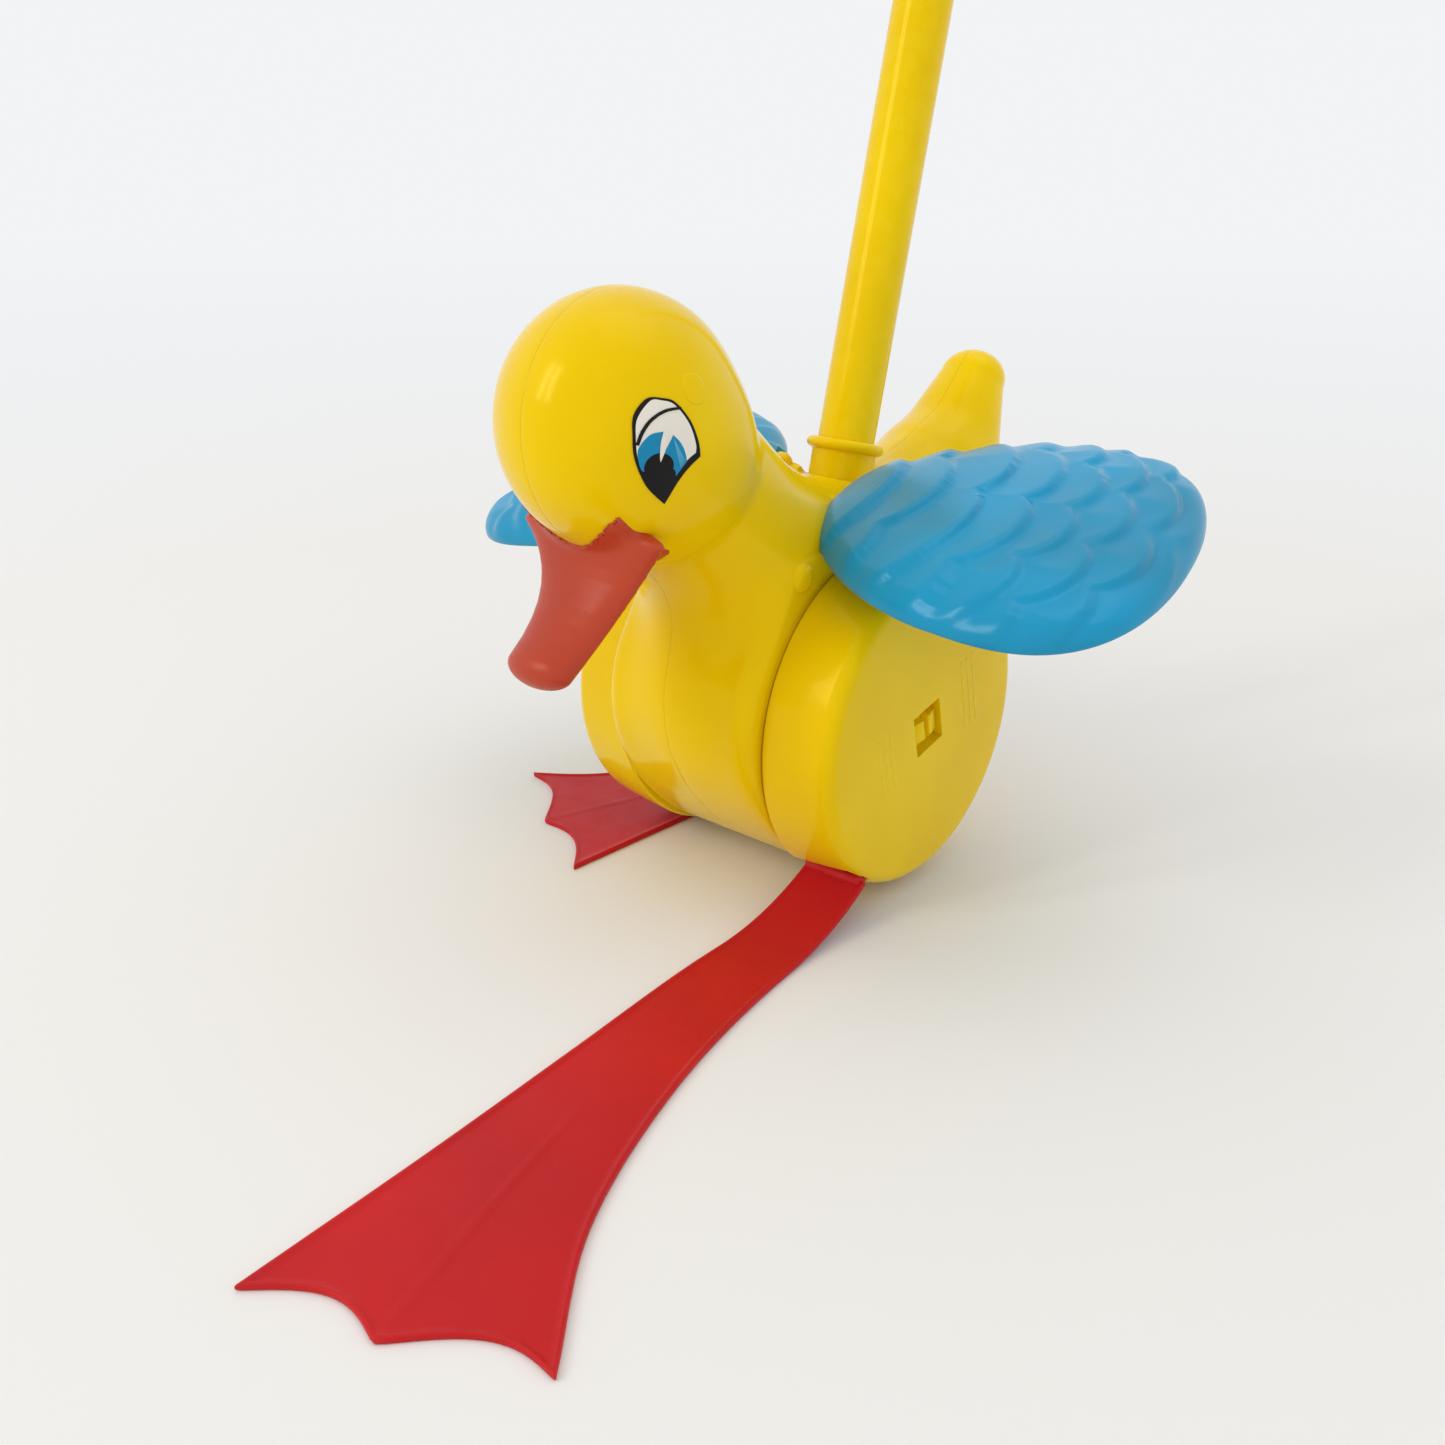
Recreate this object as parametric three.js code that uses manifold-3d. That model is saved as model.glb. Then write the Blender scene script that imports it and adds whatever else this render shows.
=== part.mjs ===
// Push-along walking duck: two drum wheels on one axle carry webbed feet that slap the floor as they
// roll, wings that flap on hinge pins, and a push stick that plugs into the back of a hollow body.
// Millimetres, +Z up. The duck faces -Y and its left side is +X.
import * as THREE from 'three';
import { ConvexGeometry } from 'three/addons/geometries/ConvexGeometry.js';
import { mergeVertices } from 'three/addons/utils/BufferGeometryUtils.js';
import Module from 'manifold-3d';

const wasm = await Module();
wasm.setup();

// ---- driving dimensions ------------------------------------------------------------------------
const GAP = 0.3; // air left between pieces that touch or fit together
const WALL = 2.2; // moulded shell thickness

const WHEEL_R = 45; // rolling radius at the inner edge
const WHEEL_DRAFT = 1.3; // the rim is this much smaller at the outer face
const WHEEL_IN = 24.2; // x of the open inner side
const WHEEL_OUT = 44; // x of the closed outer face
const WHEEL_FILLET = 4;
const RECESS = 12; // square recess in the outer face
const RECESS_DEPTH = 3;
const RECESS_TURN = 0.24; // the recess sits a little turned

const STRIP_T = 1.5; // thickness of the flexible foot strip
const AXLE_Z = WHEEL_R + GAP + STRIP_T; // the right wheel stands on its own foot strip
const AXLE_R = 4;
const SQUARE = 6.4; // square drive at the axle ends

const FOOT_ROOT_ANGLE = THREE.MathUtils.degToRad(35); // root of the left strip, forward of the bottom
const FOOT_ROOT_R = 44; // radius at which the root bars lie in the rims
const FOOT_BAR_R = 2;
const FOOT_LENGTH = 175; // root bar to the tip of the inner toe
const FOOT_TOUCHDOWN = 36; // how far in front of its root the left strip meets the floor

const DRUM_R = 43.6; // belly of the body, between the wheels
const DRUM_HALF = 23.2;
const DRUM_EDGE = 3;
const BREAST_R = 33; // the belly swells forward to this rounder drum
const BREAST_OFFSET = new THREE.Vector2(-18.6, 7); // its centre, from the axle

const HEAD = new THREE.Vector3(0, -65.3, 128 + AXLE_Z - WHEEL_R);
const HEAD_R = 29;

const STICK_TILT = THREE.MathUtils.degToRad(14);
const STICK_FOOT = new THREE.Vector3(0, 16.8, 99 + AXLE_Z - WHEEL_R); // where the stick leaves the back
const STICK_R = 7.75;
const STICK_WALL = 1.4;
const LOWER_STICK_END = 225; // lengths along the stick, from the stick foot
const UPPER_STICK_END = 425;
const KNOB_R = 17;

const WING_HINGE = new THREE.Vector3(16.4, 5.1, 102.3 + AXLE_Z - WHEEL_R);
const WING_PITCH = 0.263; // the rear edge of a wing is higher than its front edge
const LEFT_WING_DROOP = 0.075; // at rest a wing tip is lower than its hinge
const RIGHT_WING_DROOP = 0.15;
const WING_CENTRE = new THREE.Vector3(42.3, -3.4, 0); // from the hinge, in the plane of the wing
const WING_SIZE = new THREE.Vector3(45.6, 45, 12); // half length, half width and crown of the dome
const WING_SKIN = 2;
const HINGE_R = 3;
const HINGE_PIN_R = 1.2;
const HINGE_HALF = 6; // half the width of the wing's knuckle
const EAR = 3; // thickness of each hinge ear on the body

const YELLOW = { color: 0xf0cc0c, roughness: 0.25, metalness: 0 };
const BLUE = { color: 0x1e9ed2, roughness: 0.3, metalness: 0 };
const RED = { color: 0xc82424, roughness: 0.45, metalness: 0 };
const TERRACOTTA = { color: 0xc0482c, roughness: 0.4, metalness: 0 };
const STICKER = { color: 0xece6da, roughness: 0.2, metalness: 0 };

// ---- solids ------------------------------------------------------------------------------------
function solid(geometry) {
  const bare = geometry.clone();
  bare.deleteAttribute('normal');
  bare.deleteAttribute('uv');
  const merged = mergeVertices(bare, 1e-4);
  return new wasm.Manifold(new wasm.Mesh({
    numProp: 3,
    vertProperties: new Float32Array(merged.attributes.position.array),
    triVerts: new Uint32Array(merged.index.array),
  }));
}

function geometryOf(manifold) {
  const mesh = manifold.getMesh();
  const geometry = new THREE.BufferGeometry();
  geometry.setAttribute('position', new THREE.BufferAttribute(new Float32Array(mesh.vertProperties), 3));
  geometry.setIndex(new THREE.BufferAttribute(new Uint32Array(mesh.triVerts), 1));
  return geometry;
}

const joinAll = (solids) => solids.reduce((whole, next) => whole.add(next));

function box(sx, sy, sz, x, y, z) {
  return new THREE.BoxGeometry(sx, sy, sz).translate(x, y, z);
}

function rodX(radius, x0, x1, y, z, sides = 24) {
  const rod = new THREE.CylinderGeometry(radius, radius, x1 - x0, sides).rotateZ(Math.PI / 2);
  return rod.translate((x0 + x1) / 2, y, z);
}

function ball(x, y, z, rx, ry = rx, rz = rx, around = 24, rows = 14) {
  return new THREE.SphereGeometry(1, around, rows).scale(rx, ry, rz).translate(x, y, z);
}

// Smooth skin drawn tight over a few balls, each given as [x, y, z, rx, ry, rz].
function skinOver(balls, grow = 0, around = 16) {
  const points = [];
  for (const [x, y, z, rx, ry, rz] of balls) {
    const one = ball(x, y, z, rx + grow, ry + grow, rz + grow, around, around / 2);
    const position = one.attributes.position;
    for (let i = 0; i < position.count; i += 1) {
      points.push(new THREE.Vector3().fromBufferAttribute(position, i));
    }
  }
  return new ConvexGeometry(points);
}

// ---- body --------------------------------------------------------------------------------------
const LIFT = AXLE_Z - WHEEL_R; // heights below are taken from the bottom of the wheels
const HEAD_BALLS = [
  [HEAD.x, HEAD.y, HEAD.z, HEAD_R, HEAD_R, HEAD_R],
  [0, HEAD.y + 9, HEAD.z - 8, 27, 25, 26],
];
const NECK_BALLS = [[0, -46, 111 + LIFT, 21, 23, 20], [0, -20, 80 + LIFT, 21.5, 27, 26]];
const CHEST_BALLS = [[0, -22, 56 + LIFT, 22.4, 30.5, 30], [0, -16, 80 + LIFT, 21.5, 26, 26]];
const BACK_BALLS = [[0, -12, 82 + LIFT, 20, 20, 21], [0, 22, 80 + LIFT, 19, 19, 20]];
const RUMP_BALLS = [[0, 20, 74 + LIFT, 21, 22, 23], [0, 60, 96 + LIFT, 18, 22, 15]];
const TAIL_BALLS = [[0, 72, 97 + LIFT, 18.5, 16, 14], [0, 83.9, 120.6 + LIFT, 10.6, 9.4, 9.4]];

// Outer form of the body, grown or shrunk on every side. The hidden inside is made of fewer faces.
function bodyForm(grow) {
  const around = grow < 0 ? 8 : 14;
  const side = DRUM_HALF + grow;
  const drums = [[0, 0, DRUM_R + grow], [BREAST_OFFSET.x, BREAST_OFFSET.y, BREAST_R + grow]];
  const rings = [];
  for (const [y, z, radius] of drums) {
    for (let i = 0; i < 2 * around; i += 1) {
      const a = Math.PI * i / around;
      for (const [r, x] of [[radius - DRUM_EDGE, side], [radius, side - DRUM_EDGE]]) {
        rings.push(new THREE.Vector3(x, y + r * Math.cos(a), AXLE_Z + z + r * Math.sin(a)));
        rings.push(new THREE.Vector3(-x, y + r * Math.cos(a), AXLE_Z + z + r * Math.sin(a)));
      }
    }
  }
  const skins = [NECK_BALLS, CHEST_BALLS, BACK_BALLS, RUMP_BALLS, TAIL_BALLS];
  return joinAll([
    solid(new ConvexGeometry(rings)),
    solid(skinOver(HEAD_BALLS, grow, around + 6)),
    ...skins.map((balls) => solid(skinOver(balls, grow, around))),
  ]);
}

// Turned piece along the stick, from a closed profile of [radius, length] points.
function onStick(profile, sides = 20) {
  const points = profile.map(([radius, along]) => new THREE.Vector2(radius, along));
  const turned = new THREE.LatheGeometry(points, sides).rotateX(Math.PI / 2);
  return turned.rotateX(-STICK_TILT).translate(STICK_FOOT.x, STICK_FOOT.y, STICK_FOOT.z);
}

const SOCKET_R = 8.65;
const SOCKET_DEPTH = 34;
const SOCKET_RISE = 10; // the sleeve stands this far out of the back

const SHOULDER_RIVET = { y: -29.7, z: 88.2 + LIFT, radius: 4, x: 20.6 };
const HEAD_RIVET = { y: HEAD.y - 3.5, z: HEAD.z + 9.7, radius: 3.6, x: 26.8 };
const RIVET_SHANK = 2;

const BEAK_BALLS = [
  [0, -76.3, 104 + LIFT, 20, 5, 5],
  [0, -79.7, 90.8 + LIFT, 13.4, 4.6, 4.6],
  [0, -93.6, 76.8 + LIFT, 9.6, 4.8, 4.8],
];
const BEAK_ROOT_BALLS = [[0, -76, 106 + LIFT, 13, 8, 7.5], [0, -69, 116 + LIFT, 11, 6, 6]];

function beakForm(grow) {
  return solid(skinOver(BEAK_BALLS, grow, 14)).add(solid(skinOver(BEAK_ROOT_BALLS, grow, 10)));
}

// A wing's own frame: origin on the hinge, x outward, y along the hinge pin.
function placeOnHinge(geometry, side) {
  const placed = geometry.rotateX(WING_PITCH).translate(WING_HINGE.x, WING_HINGE.y, WING_HINGE.z);
  return side > 0 ? placed : mirrored(placed);
}

function mirrored(geometry) {
  const flipped = geometry.clone().scale(-1, 1, 1);
  const plain = flipped.index ? flipped.toNonIndexed() : flipped;
  const position = plain.attributes.position;
  const swapped = new Float32Array(position.array.length);
  for (let i = 0; i < position.count; i += 3) {
    [0, 2, 1].forEach((from, to) => {
      swapped[(i + to) * 3] = position.getX(i + from);
      swapped[(i + to) * 3 + 1] = position.getY(i + from);
      swapped[(i + to) * 3 + 2] = position.getZ(i + from);
    });
  }
  const result = new THREE.BufferGeometry();
  result.setAttribute('position', new THREE.BufferAttribute(swapped, 3));
  return result;
}

function hingeEars(side) {
  const ears = [];
  for (const end of [-1, 1]) {
    const y = end * (HINGE_HALF + GAP + EAR / 2);
    const eye = new THREE.CylinderGeometry(HINGE_R, HINGE_R, EAR, 16).translate(0, y, 0);
    const arm = box(2 * HINGE_R, EAR, 20, -3, y, -10).rotateY(0.25);
    ears.push(solid(placeOnHinge(eye, side)), solid(placeOnHinge(arm, side)));
  }
  return joinAll(ears);
}

function hingePin(side, radius) {
  const half = HINGE_HALF + GAP + EAR;
  return solid(placeOnHinge(new THREE.CylinderGeometry(radius, radius, 2 * half + 2, 12), side));
}

function bodyWhole() {
  const boreHub = 5.2;
  const axleBoss = solid(rodX(boreHub + 3, -DRUM_HALF, DRUM_HALF, 0, AXLE_Z));
  const socket = solid(onStick([[0, -SOCKET_DEPTH - 3], [SOCKET_R + 3, -SOCKET_DEPTH - 3],
    [SOCKET_R + 3, -4], [0, -4]]));
  const rivetPosts = [SHOULDER_RIVET, HEAD_RIVET].map(
    ({ y, z, x }) => solid(rodX(RIVET_SHANK + 2.5, -x + 1, x - 1, y, z, 10)));
  const form = bodyForm(0);
  let body = form.subtract(bodyForm(-WALL));
  body = body.add(joinAll([axleBoss, socket, ...rivetPosts]).intersect(form));
  body = body.add(hingeEars(1)).add(hingeEars(-1));
  const cuts = [
    solid(rodX(AXLE_R + GAP, -DRUM_HALF - 5, DRUM_HALF + 5, 0, AXLE_Z)),
    solid(onStick([[0, -SOCKET_DEPTH], [SOCKET_R + GAP, -SOCKET_DEPTH], [SOCKET_R + GAP, 60], [0, 60]])),
    hingePin(1, HINGE_PIN_R + GAP),
    hingePin(-1, HINGE_PIN_R + GAP),
    beakForm(GAP),
  ];
  for (const { y, z, x, radius } of [SHOULDER_RIVET, HEAD_RIVET]) {
    cuts.push(solid(rodX(RIVET_SHANK + GAP, -40, 40, y, z, 10)));
    cuts.push(solid(rodX(radius + GAP, x - 1 - GAP, 40, y, z, 14)));
    cuts.push(solid(rodX(radius + GAP, -40, -x + 1 + GAP, y, z, 14)));
  }
  return body.subtract(joinAll(cuts));
}

const body = bodyWhole();

function bodyHalf(side) {
  const half = box(120, 400, 400, side * (60 + GAP / 2), 0, 100);
  return geometryOf(body.intersect(solid(half)));
}

function rivet({ y, z, x, radius }) {
  const heads = [1, -1].map((side) => {
    const dome = ball(side * (x - 1), y, z, 1.6, radius, radius, 14, 6);
    const outside = box(10, 20, 20, side * (x + 4), y, z);
    return solid(dome).intersect(solid(outside));
  });
  return geometryOf(joinAll([solid(rodX(RIVET_SHANK, -x, x, y, z, 10)), ...heads]));
}

// Eye sticker: a leaf-shaped patch of a thin sphere that lies on the side of the head.
function eyeSticker(side) {
  const leaf = new THREE.Shape();
  leaf.moveTo(-2.6, 8.4);
  leaf.quadraticCurveTo(2.2, 8.6, 6.6, 3);
  leaf.quadraticCurveTo(8.4, -1, 7.6, -6);
  leaf.quadraticCurveTo(2.4, -8.6, -1.2, -10.4);
  leaf.quadraticCurveTo(-6.6, -2, -5.6, 4.6);
  leaf.quadraticCurveTo(-5.2, 7, -2.6, 8.4);
  const prism = new THREE.ExtrudeGeometry(leaf, { depth: 40, bevelEnabled: false, curveSegments: 5 });
  // The prism runs along +X and the leaf stands upright.
  prism.rotateY(Math.PI / 2).rotateX(Math.PI / 2).translate(10, HEAD.y - 13, HEAD.z - 2);
  const grown = HEAD_R + GAP;
  const skin = solid(ball(HEAD.x, HEAD.y, HEAD.z, grown + 0.5, grown + 0.5, grown + 0.5, 40, 24))
    .subtract(solid(ball(HEAD.x, HEAD.y, HEAD.z, grown, grown, grown, 40, 24)));
  const patch = geometryOf(skin.intersect(solid(prism)));
  return side > 0 ? patch : mirrored(patch);
}

// ---- wheels and axle ---------------------------------------------------------------------------
function footRootAt(side) {
  const angle = side > 0 ? FOOT_ROOT_ANGLE : FOOT_ROOT_ANGLE + Math.PI;
  return new THREE.Vector2(-Math.sin(angle), -Math.cos(angle)).multiplyScalar(FOOT_ROOT_R);
}

function wheel(side) {
  const face = WHEEL_R - WHEEL_DRAFT;
  const rim = [
    new THREE.Vector2(WHEEL_R - WALL, WHEEL_IN),
    new THREE.Vector2(WHEEL_R, WHEEL_IN),
    new THREE.Vector2(face + 0.3, WHEEL_OUT - WHEEL_FILLET),
  ];
  for (const turn of [30, 60, 90]) {
    const a = THREE.MathUtils.degToRad(turn);
    rim.push(new THREE.Vector2(face - WHEEL_FILLET + WHEEL_FILLET * Math.cos(a),
      WHEEL_OUT - WHEEL_FILLET + WHEEL_FILLET * Math.sin(a)));
  }
  rim.push(new THREE.Vector2(0, WHEEL_OUT), new THREE.Vector2(0, WHEEL_OUT - WALL));
  rim.push(new THREE.Vector2(face - WHEEL_FILLET, WHEEL_OUT - WALL));
  rim.push(new THREE.Vector2(face - WALL, WHEEL_OUT - WHEEL_FILLET), rim[0].clone());
  const cup = new THREE.LatheGeometry(rim, 40).rotateZ(-Math.PI / 2).translate(0, 0, AXLE_Z);
  const hub = rodX(11, WHEEL_IN + 0.4, WHEEL_OUT - 0.5, 0, AXLE_Z, 24);
  const root = footRootAt(side);
  const seat = rodX(FOOT_BAR_R + 2.2, WHEEL_IN + 0.2, WHEEL_OUT - 2, root.x, AXLE_Z + root.y, 16);
  const disc = rodX(WHEEL_R - 0.4, WHEEL_IN, WHEEL_OUT - 1, 0, AXLE_Z, 40);
  const square = (size, x0, x1) => {
    const bar = box(x1 - x0, size, size, (x0 + x1) / 2, 0, 0);
    return solid(bar.rotateX(RECESS_TURN).translate(0, 0, AXLE_Z));
  };
  const groove = rodX(FOOT_BAR_R + GAP, WHEEL_IN - 3, WHEEL_OUT + 3, root.x, AXLE_Z + root.y, 16);
  const body = solid(cup).add(solid(hub)).add(solid(seat).intersect(solid(disc)))
    .subtract(square(RECESS, WHEEL_OUT - RECESS_DEPTH, WHEEL_OUT + 5))
    .subtract(square(SQUARE + 2 * GAP, WHEEL_IN - 5, WHEEL_OUT + 5))
    .subtract(solid(groove));
  const shape = geometryOf(body);
  return side > 0 ? shape : mirrored(shape);
}

function axle() {
  const hooks = [];
  for (const side of [-1, 1]) {
    const end = WHEEL_OUT - 0.4;
    const drive = box(end - DRUM_HALF, SQUARE, SQUARE, side * (end + DRUM_HALF) / 2, 0, 0);
    const barb = box(RECESS_DEPTH - 1.2, SQUARE + 2.6, SQUARE - 0.6, side * (end - 0.9), 0, 0);
    const split = box(12, 1.8, SQUARE + 4, side * (end - 4), 0, 0);
    const prongs = solid(drive).add(solid(barb)).subtract(solid(split));
    hooks.push(solid(geometryOf(prongs).rotateX(RECESS_TURN).translate(0, 0, AXLE_Z)));
  }
  return geometryOf(joinAll([solid(rodX(AXLE_R, -DRUM_HALF - 1, DRUM_HALF + 1, 0, AXLE_Z)), ...hooks]));
}

// ---- feet --------------------------------------------------------------------------------------
// Edges of the foot strip, as x from the middle of the toy against the length from the root.
const INNER_EDGE = new THREE.CatmullRomCurve3([
  new THREE.Vector3(24.8, 0), new THREE.Vector3(24.6, 45), new THREE.Vector3(28, 90),
  new THREE.Vector3(31, 130), new THREE.Vector3(33.4, FOOT_LENGTH)]);
const OUTER_EDGE = new THREE.CatmullRomCurve3([
  new THREE.Vector3(43.6, 0), new THREE.Vector3(46, 42), new THREE.Vector3(54.4, 84),
  new THREE.Vector3(70, 124), new THREE.Vector3(90, 151)]);
const TOE_DEPTH = 6.5; // how deep the web is scalloped between two toes
const RIGHT_TOE_OUT = 0.2; // the right foot lies turned out a little more

// Point on the flat foot, across from the inner edge (0) to the outer edge (1), and along (0 to 1).
function flatFoot(across, along) {
  const inner = INNER_EDGE.getPoint(along);
  const outer = OUTER_EDGE.getPoint(along);
  const point = inner.lerp(outer, across);
  const web = Math.abs(Math.sin(2 * Math.PI * across));
  const middleToe = 3 * Math.sin(Math.PI * across);
  point.y += (middleToe - TOE_DEPTH * web) * along ** 6;
  return point;
}

// Side view of the left strip: a short ramp down from the rim, then flat on the floor.
function restingPath(length) {
  const root = footRootAt(1);
  const start = new THREE.Vector2(root.x, AXLE_Z + root.y);
  const floor = STRIP_T / 2;
  const t = Math.min(length / FOOT_TOUCHDOWN, 1);
  const ease = (1 - t) ** 2;
  const height = floor + (start.y - floor) * ease;
  const slope = -2 * (start.y - floor) * (1 - t) / FOOT_TOUCHDOWN;
  return { y: start.x - length, z: height, ny: slope, nz: 1 };
}

// Side view of the right strip: round the rear of the wheel from its root, then forward on the floor.
function wrappedPath(length) {
  const radius = WHEEL_R + GAP + STRIP_T / 2;
  const arc = radius * (Math.PI - FOOT_ROOT_ANGLE);
  if (length > arc) {
    return { y: arc - length, z: AXLE_Z - radius, ny: 0, nz: 1 };
  }
  const angle = (arc - length) / radius;
  const out = new THREE.Vector2(Math.sin(angle), -Math.cos(angle));
  return { y: radius * out.x, z: AXLE_Z + radius * out.y, ny: -out.x, nz: -out.y };
}

function foot(side) {
  const across = 8;
  const along = side > 0 ? 18 : 28;
  const sheet = new THREE.BoxGeometry(1, 1, 1, across, along, 1);
  const path = side > 0 ? restingPath : wrappedPath;
  const position = sheet.attributes.position;
  for (let i = 0; i < position.count; i += 1) {
    const flat = flatFoot(0.5 - position.getX(i), position.getY(i) + 0.5);
    if (side < 0) {
      const alongFoot = position.getY(i) + 0.5;
      flat.y -= RIGHT_TOE_OUT * (flat.x - WHEEL_IN) * alongFoot ** 3;
    }
    const { y, z, ny, nz } = path(flat.y);
    const lift = position.getZ(i) * STRIP_T / Math.hypot(ny, nz);
    position.setXYZ(i, flat.x, y + ny * lift, z + nz * lift);
  }
  const root = footRootAt(side);
  const bar = rodX(FOOT_BAR_R, WHEEL_IN + 0.8, WHEEL_OUT - 0.8, root.x, AXLE_Z + root.y, 12);
  const whole = geometryOf(solid(sheet).add(solid(bar)));
  return side > 0 ? whole : mirrored(whole);
}

// ---- wings -------------------------------------------------------------------------------------
function wing(side) {
  const dome = (inset) => ball(WING_CENTRE.x, WING_CENTRE.y, 0, WING_SIZE.x - inset, WING_SIZE.y - inset,
    WING_SIZE.z - inset, 26, 16);
  const above = box(200, 200, 40, 0, 0, 20);
  const outboard = box(200, 200, 80, 100 + HINGE_R + 1.5, 0, 0);
  const web = box(12, 2 * HINGE_HALF, 8, 6, 0, 4);
  const shell = solid(dome(0)).subtract(solid(dome(WING_SKIN)))
    .intersect(solid(above)).intersect(solid(outboard))
    .add(solid(dome(0)).intersect(solid(web)));
  const droop = side > 0 ? LEFT_WING_DROOP : RIGHT_WING_DROOP;
  const drooped = solid(geometryOf(shell).rotateY(droop));
  const knuckle = new THREE.CylinderGeometry(HINGE_R, HINGE_R, 2 * HINGE_HALF, 16);
  const bore = new THREE.CylinderGeometry(HINGE_PIN_R + GAP, HINGE_PIN_R + GAP, 30, 12);
  const whole = drooped.add(solid(knuckle)).subtract(solid(bore));
  return placeOnHinge(geometryOf(whole), side);
}

// ---- stick -------------------------------------------------------------------------------------
const FLANGE_R = 10.6;
const COUPLER_REACH = 20; // length of the coupler inside each tube
const COUPLER_RING = 1.8; // its ring that shows between the tubes

function tube(from, to) {
  const inner = STICK_R - STICK_WALL;
  return onStick([[inner, from], [STICK_R, from], [STICK_R, to], [inner, to], [inner, from]]);
}

const stickCollar = onStick([
  [0, -SOCKET_DEPTH + GAP], [SOCKET_R, -SOCKET_DEPTH + GAP], [SOCKET_R, SOCKET_RISE],
  [FLANGE_R - 0.6, SOCKET_RISE], [FLANGE_R, SOCKET_RISE + 0.8], [FLANGE_R, SOCKET_RISE + 2.4],
  [FLANGE_R - 0.6, SOCKET_RISE + 3.2], [STICK_R + GAP, SOCKET_RISE + 3.2],
  [STICK_R + GAP, -SOCKET_DEPTH + 3], [0, -SOCKET_DEPTH + 3]]);
const lowerStick = tube(-SOCKET_DEPTH + 3 + GAP, LOWER_STICK_END);
const plugR = STICK_R - STICK_WALL - GAP;
const ringEnd = LOWER_STICK_END + COUPLER_RING;
const stickCoupler = onStick([
  [0, LOWER_STICK_END - COUPLER_REACH], [plugR, LOWER_STICK_END - COUPLER_REACH],
  [plugR, LOWER_STICK_END + GAP], [STICK_R, LOWER_STICK_END + GAP],
  [STICK_R, ringEnd], [plugR, ringEnd],
  [plugR, ringEnd + COUPLER_REACH], [0, ringEnd + COUPLER_REACH]]);
const upperStick = tube(ringEnd + GAP, UPPER_STICK_END);

function handleKnob() {
  const centre = UPPER_STICK_END + 8;
  const boreEnd = UPPER_STICK_END + GAP;
  const profile = [[0, boreEnd], [STICK_R + GAP, boreEnd], [STICK_R + GAP, centre - 24],
    [STICK_R + GAP + 2, centre - 24]];
  for (let turn = -55; turn <= 90; turn += 145 / 9) {
    const a = THREE.MathUtils.degToRad(turn);
    profile.push([KNOB_R * Math.cos(a), centre + KNOB_R * Math.sin(a)]);
  }
  profile[profile.length - 1][0] = 0;
  return onStick(profile, 20);
}

// ---- assembly ----------------------------------------------------------------------------------
const toy = new THREE.Group();

function addPart(name, geometry, look) {
  const mesh = new THREE.Mesh(geometry, new THREE.MeshStandardMaterial(look));
  mesh.name = name;
  toy.add(mesh);
}

addPart('beak', geometryOf(beakForm(0)), TERRACOTTA);
addPart('head_rivet', rivet(HEAD_RIVET), YELLOW);
addPart('shoulder_rivet', rivet(SHOULDER_RIVET), YELLOW);
addPart('axle', axle(), YELLOW);
addPart('stick_collar', stickCollar, YELLOW);
addPart('lower_stick', lowerStick, YELLOW);
addPart('stick_coupler', stickCoupler, YELLOW);
addPart('upper_stick', upperStick, YELLOW);
addPart('handle_knob', handleKnob(), YELLOW);
for (const [prefix, side] of [['left', 1], ['right', -1]]) {
  addPart(`${prefix}_body_shell`, bodyHalf(side), YELLOW);
  addPart(`${prefix}_eye_sticker`, eyeSticker(side), STICKER);
  addPart(`${prefix}_wheel`, wheel(side), YELLOW);
  addPart(`${prefix}_foot`, foot(side), RED);
  addPart(`${prefix}_wing`, wing(side), BLUE);
  addPart(`${prefix}_wing_pin`, geometryOf(hingePin(side, HINGE_PIN_R)), BLUE);
}

// The origin is under the middle of the whole toy, on the floor.
const bounds = new THREE.Box3().setFromObject(toy);
toy.position.y = -(bounds.min.y + bounds.max.y) / 2;
toy.updateMatrixWorld(true);

export default toy;
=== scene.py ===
"""Push-along walking duck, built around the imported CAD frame.

Lengths are written in millimetres from the middle of the axle (x to the duck's left, y to its back,
z up) and turned into metres in the frame's axes by place().
"""

import math

import bmesh
import bpy
import numpy as np
from mathutils import Matrix, Vector
from mathutils.geometry import delaunay_2d_cdt


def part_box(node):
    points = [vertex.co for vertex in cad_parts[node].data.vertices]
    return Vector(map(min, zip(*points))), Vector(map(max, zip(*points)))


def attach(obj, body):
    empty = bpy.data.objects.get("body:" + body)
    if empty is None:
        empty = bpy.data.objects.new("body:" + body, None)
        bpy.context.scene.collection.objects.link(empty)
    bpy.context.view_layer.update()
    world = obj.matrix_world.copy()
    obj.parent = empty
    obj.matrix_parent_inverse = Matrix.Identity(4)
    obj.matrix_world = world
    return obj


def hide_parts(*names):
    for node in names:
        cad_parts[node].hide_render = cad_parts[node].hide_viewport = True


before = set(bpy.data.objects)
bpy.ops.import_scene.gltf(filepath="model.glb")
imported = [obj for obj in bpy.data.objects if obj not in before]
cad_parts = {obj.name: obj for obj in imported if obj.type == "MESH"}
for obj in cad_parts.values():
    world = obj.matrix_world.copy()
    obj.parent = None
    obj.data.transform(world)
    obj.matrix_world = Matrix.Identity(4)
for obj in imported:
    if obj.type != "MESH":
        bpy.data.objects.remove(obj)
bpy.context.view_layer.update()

MM = 0.001
axle_low, axle_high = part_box("axle")
AXLE = (axle_low + axle_high) / 2
wheel_low, wheel_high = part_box("left_wheel")
WHEEL_R = (wheel_high.z - wheel_low.z) / 2 / MM
WHEEL_IN = wheel_low.x / MM
WHEEL_OUT = wheel_high.x / MM
FLOOR_Z = -AXLE.z / MM  # the floor, from the axle
SIDES = {1: "left", -1: "right"}


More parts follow.
